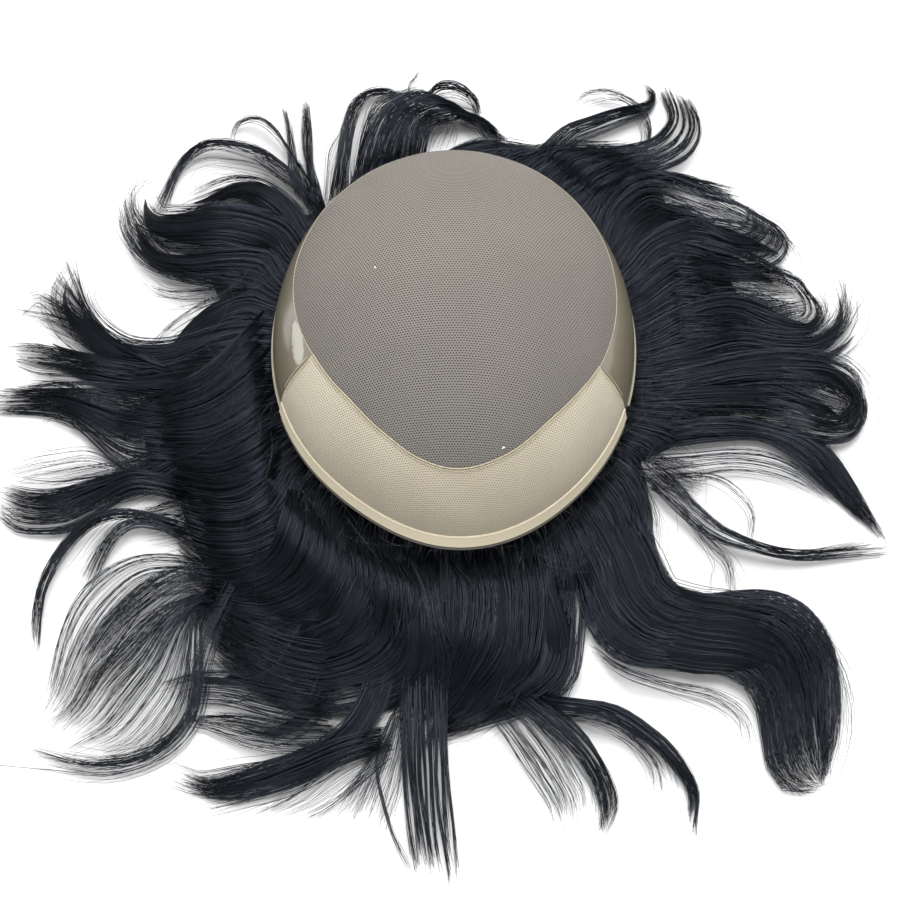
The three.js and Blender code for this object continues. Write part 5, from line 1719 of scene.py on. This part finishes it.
        low = np.clip(spot.astype(int), 0, len(gone) - 2)
        part = spot - low
        line = np.arange(count)[:, None]
        turn = turn[line, low] * (1 - part) + turn[line, low + 1] * part
        out = out[line, low] * (1 - part) + out[line, low + 1] * part
        went = np.interp(spot, np.arange(len(gone)), gone)
        swing = pick.normal(0, 1.6, (count, 1)) * np.sin(
            went / pick.uniform(14, 26, (count, 1)) + pick.uniform(0, 6.3, (count, 1)))
        points = self.form.table_place(turn + swing * 0.6, out)
        under = pick.uniform(0, 1, (count, 1)) ** 2
        points[..., 2] = self.crest(went) * (0.97 - 0.25 * under) + pick.normal(0, 0.3, (count, 1))
        points[..., 2] -= 2.5 * local[None] ** 3
        points[..., 2] = np.maximum(points[..., 2], 0.4)
        radius = pick.uniform(*self.thickness, count)[:, None] * (1 - 0.7 * local[None] ** 4)
        sections, flat, tone = self.tubes(points, radius, pick.beta(0.9, 4.5, count))
        return [(sections[part], flat[part], tone[part])
                for part in np.array_split(np.arange(count), 4)]

    @staticmethod
    def tubes(lines: Array, radius: Array, tone: Array) -> tuple[Array, Array, Array]:
        """Put a three-cornered section round each hair.

        Args:
            lines: Points by hair and station.
            radius: Radii by hair and station.
            tone: One shade a hair.

        Returns:
            Sections, flat places and tones for MeshMaker.sweep.
        """
        ahead = np.gradient(lines, axis=1)
        ahead /= np.maximum(np.linalg.norm(ahead, axis=-1, keepdims=True), 1e-9)
        side = np.cross(ahead, np.array([0.0, 0.0, 1.0]))
        side /= np.maximum(np.linalg.norm(side, axis=-1, keepdims=True), 1e-9)
        above = np.cross(side, ahead)
        turns = np.radians([90, 210, 330])
        corners = [lines + radius[..., None] * (side * math.cos(a) + above * math.sin(a))
                   for a in turns]
        sections = np.stack(corners, axis=2)
        sections[..., 2] = np.maximum(sections[..., 2], 0.05)
        long = np.arange(lines.shape[1]) * 8.0
        flat = np.zeros((*sections.shape[:3], 2))
        flat[..., 0] = np.arange(3)[None, None] * 0.2
        flat[..., 1] = long[None, :, None]
        return sections, flat, tone

    def bodies(self, locks: Sequence[Lock]) -> tuple[Array, Array, Array]:
        """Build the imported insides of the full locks, grooved along their length.

        Args:
            locks: The locks that have one.

        Returns:
            Sections, flat places and tones for MeshMaker.sweep.
        """
        corners = 16
        turn = np.radians(np.linspace(0, 360, corners, endpoint=False))
        sections, flats = [], []
        for lock in locks:
            flow = self.flow(lock)
            local = np.linspace(0, 1, 26)
            share = local * 0.9
            taper = np.sqrt(np.clip(1 - smooth((local - 0.55) / 0.45), 0.0025, 1))
            half = flow.at(share, flow.half) * 0.86 * taper
            top = flow.at(share, flow.top) * 0.9 * (0.35 + 0.65 * taper)
            lift = flow.at(share, flow.lift)
            phase = self.generator.uniform(0, 6.3)
            groove = 1 + 0.07 * np.sin(turn[None] * 7 + phase + local[:, None] * 4)
            groove += 0.04 * np.sin(turn[None] * 13 + 2 * phase - local[:, None] * 6)
            across = np.cos(turn)[None] * half[:, None] * groove
            above = np.sin(turn)[None]
            height = np.where(above > 0, above * groove, above * 0.2)
            tall = lift[:, None] + 0.22 * top[:, None] + height * 0.78 * top[:, None]
            centre = np.stack([flow.at(share, flow.centre[:, axis]) for axis in (0, 1)], -1)
            side = np.stack([flow.at(share, flow.side[:, axis]) for axis in (0, 1)], -1)
            level = centre[:, None] + side[:, None] * across[..., None]
            sections.append(np.concatenate([level, np.maximum(tall, 0.1)[..., None]], -1))
            flats.append(np.stack([np.broadcast_to(turn[None] * half.max(), across.shape),
                                   np.broadcast_to((share * flow.length)[:, None], across.shape)],
                                  -1))
        return np.array(sections), np.array(flats), np.zeros(len(locks))

    def mass(self) -> bpy.types.Object:
        """Build the closed mass: gathered roots under the rim and the apron round it.

        Returns:
            The mass, with a UV map that runs along the hair.
        """
        rows = np.array(self.MASS_ROWS, float)
        ridges = self.generator.uniform(0, 6.3, 4)
        def place(across: Array, along: Array) -> tuple[Array, Array]:
            """Lay one closed section round the cap.

            Args:
                across: Shares of the way round.
                along: Shares of the way along the section.

            Returns:
                Points and flat places.
            """
            direction = across * 360
            reach = np.interp(direction, rows[:, 0], rows[:, 1], period=360) * self.length * 0.88
            wave = sum(np.sin(np.radians(direction) * beat + ridge) for beat, ridge in
                       zip((37, 61, 97, 143), ridges)) / 4
            crest = self.crest(np.array(-0.7)) - 0.8 + 0.5 * wave
            tall = [0.2, 15.2, 15.0, 0, 0, 0, 0, 0, 0.2, 0.2, 0.2]
            past = [-12.3, -12.3, -2.4, -0.7, 0, 0, 0, 0, 0, 0, 0]
            out = np.zeros((len(past), len(direction))) + np.array(past)[:, None]
            up = np.zeros((len(tall), len(direction))) + np.array(tall)[:, None]
            up[3] = crest
            for row, share in ((4, 0.25), (5, 0.5), (6, 0.78), (7, 1.0)):
                out[row] = reach * share
                up[row] = (self.crest(out[row]) - 1.6) * (1 + 0.1 * wave)
            up[6] *= 0.85
            up[7] = 1.2
            out[8], out[9], out[10] = reach, reach * 0.4, -12.3
            spot = along * (len(past) - 1)
            low = np.clip(spot.astype(int), 0, len(past) - 2)
            part = spot - low
            index = np.arange(len(direction))
            far = out[low, index] * (1 - part) + out[low + 1, index] * part
            tops = up[low, index] * (1 - part) + up[low + 1, index] * part
            points = self.form.table_place(direction, far)
            points[:, 2] = tops
            return points, np.stack([np.radians(direction) * 80, far], -1)
        piece = MeshMaker.grid("hair_mass", 240, 24, place, is_closed=True)
        bpy.ops.object.mode_set(mode="EDIT")
        bpy.ops.mesh.select_all(action="SELECT")
        bpy.ops.mesh.normals_make_consistent(inside=False)
        bpy.ops.object.mode_set(mode="OBJECT")
        MeshMaker.soften(piece, 60)
        return piece

    def short_hairs(self) -> tuple[Array, Array, Array]:
        """Grow the short hairs that poke out under the hem.

        Returns:
            Sections, flat places and tones for MeshMaker.sweep.
        """
        pick = self.generator
        count = self.short_count
        at = pick.uniform(-163, -17, count)
        out = self.form.table_place(at, 40.0) - self.form.table_place(at, 0.0)
        out /= np.linalg.norm(out, axis=1, keepdims=True)
        turned = np.stack([-out[:, 1], out[:, 0], np.zeros(count)], 1)
        lean = pick.normal(0, 0.35, count)[:, None]
        start = self.form.point(at, 0.0, 0.6)
        start[:, 2] = 15.0
        long = pick.uniform(2.5, 6.5, count)[:, None, None]
        local = np.linspace(0, 1, 6)[None, :, None]
        lines = (start[:, None] + (out + turned * lean)[:, None] * long * local
                 + np.array([0, 0, -1.0]) * long * 0.5 * local**2)
        radius = pick.uniform(0.06, 0.1, count)[:, None] * (1 - 0.6 * local[..., 0] ** 2)
        return self.tubes(lines, radius, pick.uniform(0.3, 1, count))

    def loose_hairs(self) -> tuple[Array, Array, Array]:
        """Grow long single hairs that lie in arcs over the mass and past the locks.

        Returns:
            Sections, flat places and tones for MeshMaker.sweep.
        """
        pick = self.generator
        count = self.loose_count
        direction = pick.uniform(152, 385, count)
        past = pick.uniform(2, 34, count)
        start = self.form.table_place(direction, past)
        heading = np.radians(direction + pick.normal(0, 60, count))
        bend = np.radians(pick.normal(0, 2.2, count))
        local = np.linspace(0, 1, 18)
        long = pick.uniform(15, 45, count)
        turn = heading[:, None] + bend[:, None] * long[:, None] * local[None]
        step = (long / (len(local) - 1))[:, None]
        lines = np.zeros((count, len(local), 3))
        lines[..., 0] = start[:, :1] + np.cumsum(np.cos(turn) * step, axis=1)
        lines[..., 1] = start[:, 1:2] + np.cumsum(np.sin(turn) * step, axis=1)
        gone = np.linalg.norm(lines[..., :2] - np.array(self.form.centre), axis=-1)
        slope = np.clip((gone - 88) / 75, 0, 1)
        lines[..., 2] = 13.5 - 12 * slope + pick.uniform(0, 1.5, count)[:, None]
        radius = pick.uniform(0.05, 0.09, count)[:, None] * (1 - 0.5 * local[None] ** 2)
        # High tones give these hairs their grey of painted sheen
        return self.tubes(lines, radius, pick.uniform(0.5, 1, count))

    def tie(self, piece: bpy.types.Object, material: bpy.types.Material) -> None:
        """Finish a piece of hair and tie it to the frame.

        Args:
            piece: The piece.
            material: Its finish.
        """
        piece.data.materials.clear()
        piece.data.materials.append(material)
        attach(piece, "root")
        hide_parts("hair_locks")
        log.info("%s: %d faces", piece.name, len(piece.data.polygons))

    def build(self, bundle: bpy.types.Material) -> None:
        """Build all the hair, its single hairs in one piece for each stretch of the rim.

        Args:
            bundle: The finish of packed hair.
        """
        strand = StrandFinish().material()
        self.tie(self.mass(), bundle)
        full = [lock for lock in LOCKS if LAY_RULES[lock.lay].has_body]
        self.tie(MeshMaker.sweep("hair_lock_bodies", *self.bodies(full)), bundle)
        stretches = {
            "right": (-14, 37), "back_right": (37, 90), "back_left": (90, 150),
            "left": (150, 187), "left_front": (187, 225), "front_left": (225, 252),
            "front": (252, 282), "front_right": (282, 315), "right_front": (315, 346),
        }
        for name, (low, high) in stretches.items():
            batch = [lock for lock in (*LOCKS, *LOOSE_LOCKS)
                     if low <= lock.root < high or low <= lock.root - 360 < high]
            self.tie(self.join(f"hair_strands_{name}", [self.strands(x) for x in batch]), strand)
        for place, batch in enumerate(np.array_split(np.arange(len(FANS)), 7)):
            groups = [self.spray(FANS[index]) for index in batch]
            self.tie(self.join(f"hair_fans_{place}", groups), strand)
        for place, group in enumerate(self.covering()):
            self.tie(self.join(f"hair_strands_cover_{place}", [group]), strand)
        # Painted sheen: the grey light colour stands in for light glancing along the loose hairs;
        # the short hairs under the hem take it too
        stray = StrandFinish("single_hair_painted_sheen", "#0c0e12", "#4e4e4d").material()
        self.tie(self.join("hair_strands_loose", [self.short_hairs(), self.loose_hairs()]), stray)

    @staticmethod
    def join(name: str, groups: Sequence[tuple[Array, Array, Array]]) -> bpy.types.Object:
        """Make one piece of several groups of hairs.

        Args:
            name: The piece's name.
            groups: Sections, flat places and tones of each group.

        Returns:
            The joined piece.
        """
        parts = [MeshMaker.sweep(f"{name}_{place}", *group) for place, group in enumerate(groups)]
        bpy.ops.object.select_all(action="DESELECT")
        for part in parts:
            part.select_set(True)
        bpy.context.view_layer.objects.active = parts[0]
        if len(parts) > 1:
            bpy.ops.object.join()
        parts[0].name = parts[0].data.name = name
        return parts[0]


@dataclass
class Studio:
    """The pale table, the soft light and the camera."""

    view: Viewpoint
    sky: float = 0.55
    key_power: float = 28.0
    key_size: float = 1.2
    key_place: tuple[float, float, float] = (0.1, 0.5, 1.5)
    fill_power: float = 10.0
    fill_size: float = 0.9
    fill_place: tuple[float, float, float] = (-0.25, -1.5, 0.7)

    def table(self) -> None:
        """Build the table's pale, matte top."""
        floor = MeshMaker.start("table_top", bpy.ops.mesh.primitive_plane_add, size=8,
                                location=(0, 0, -0.0004))
        floor.data.transform(floor.matrix_world)
        floor.matrix_world.identity()
        material, tree = new_material("matte_white_board")
        place = add(tree, "ShaderNodeTexCoord").outputs["Object"]
        grain = add(tree, "ShaderNodeTexNoise", {"Vector": place, "Scale": 6.0, "Detail": 2.0})
        colour = add(tree, "ShaderNodeMix", {"Factor": grain.outputs["Fac"],
                     6: linear("#f6f6f6"), 7: linear("#fafafa")}, data_type="RGBA")
        surface(tree, {"Base Color": colour.outputs[2], "Roughness": 0.9,
                       "Specular IOR Level": 0.1})
        floor.data.materials.append(material)

    def light(self, name: str, power: float, size: float,
              place: tuple[float, float, float]) -> None:
        """Add one square soft light that faces the hairpiece.

        Args:
            name: The light's name.
            power: Its power in watts.
            size: Its side in metres.
            place: Where it stands, in metres.
        """
        lamp = bpy.data.lights.new(name, "AREA")
        lamp.energy = power
        lamp.size = size
        holder = bpy.data.objects.new(name, lamp)
        bpy.context.scene.collection.objects.link(holder)
        spot = np.array(place)
        away = spot / np.linalg.norm(spot)
        holder.location = place
        holder.rotation_euler = (math.acos(away[2]), 0, math.atan2(away[1], away[0]) + math.pi / 2)

    def world(self) -> None:
        """Set the even white surroundings of a light tent."""
        world = bpy.data.worlds.new("light_tent")
        bpy.context.scene.world = world
        world.use_nodes = True
        world.node_tree.nodes.clear()
        glow = add(world.node_tree, "ShaderNodeBackground", {"Color": (1.0, 1.0, 1.0, 1.0),
                   "Strength": self.sky})
        add(world.node_tree, "ShaderNodeOutputWorld", {"Surface": glow.outputs[0]})

    def camera(self) -> None:
        """Set the camera where the photograph was taken from."""
        lens = bpy.data.cameras.new("camera")
        lens.lens = self.view.lens
        lens.sensor_width = self.view.sensor
        lens.sensor_fit = "HORIZONTAL"
        holder = bpy.data.objects.new("camera", lens)
        bpy.context.scene.collection.objects.link(holder)
        holder.location = self.view.stand() * MM
        holder.rotation_euler = (math.pi / 2 - math.radians(self.view.elevation), 0, 0)
        bpy.context.scene.camera = holder

    def build(self) -> None:
        """Set up the whole studio."""
        self.table()
        self.light("overhead_softbox", self.key_power, self.key_size, self.key_place)
        self.light("front_softbox", self.fill_power, self.fill_size, self.fill_place)
        self.world()
        self.camera()
        settings = bpy.context.scene.view_settings
        settings.view_transform = "Standard"
        settings.look = "None"


def cap_centre(back_reach: float, lining: float) -> tuple[float, float]:
    """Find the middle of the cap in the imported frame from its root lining."""
    low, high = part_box("crown_hair")
    return ((low.x + high.x) / 2 / MM, high.y / MM - (back_reach - lining))


def main() -> None:
    """Build the cap, the hair and the studio."""
    logging.basicConfig(level=logging.INFO, format="%(message)s")
    centre = cap_centre(CapForm.back_reach, Cap.hair_under)
    form = CapForm(centre)
    bundle = BundleFinish().material()
    cap = Cap(form)
    cap.build(bundle)
    for piece in cap.pieces:
        log.info("%s: %d faces", piece.name, len(piece.data.polygons))
    view = Viewpoint(centre)
    Hair(form, view).build(bundle)
    Studio(view).build()
    bpy.context.view_layer.update()


if __name__ == "__main__":
    main()
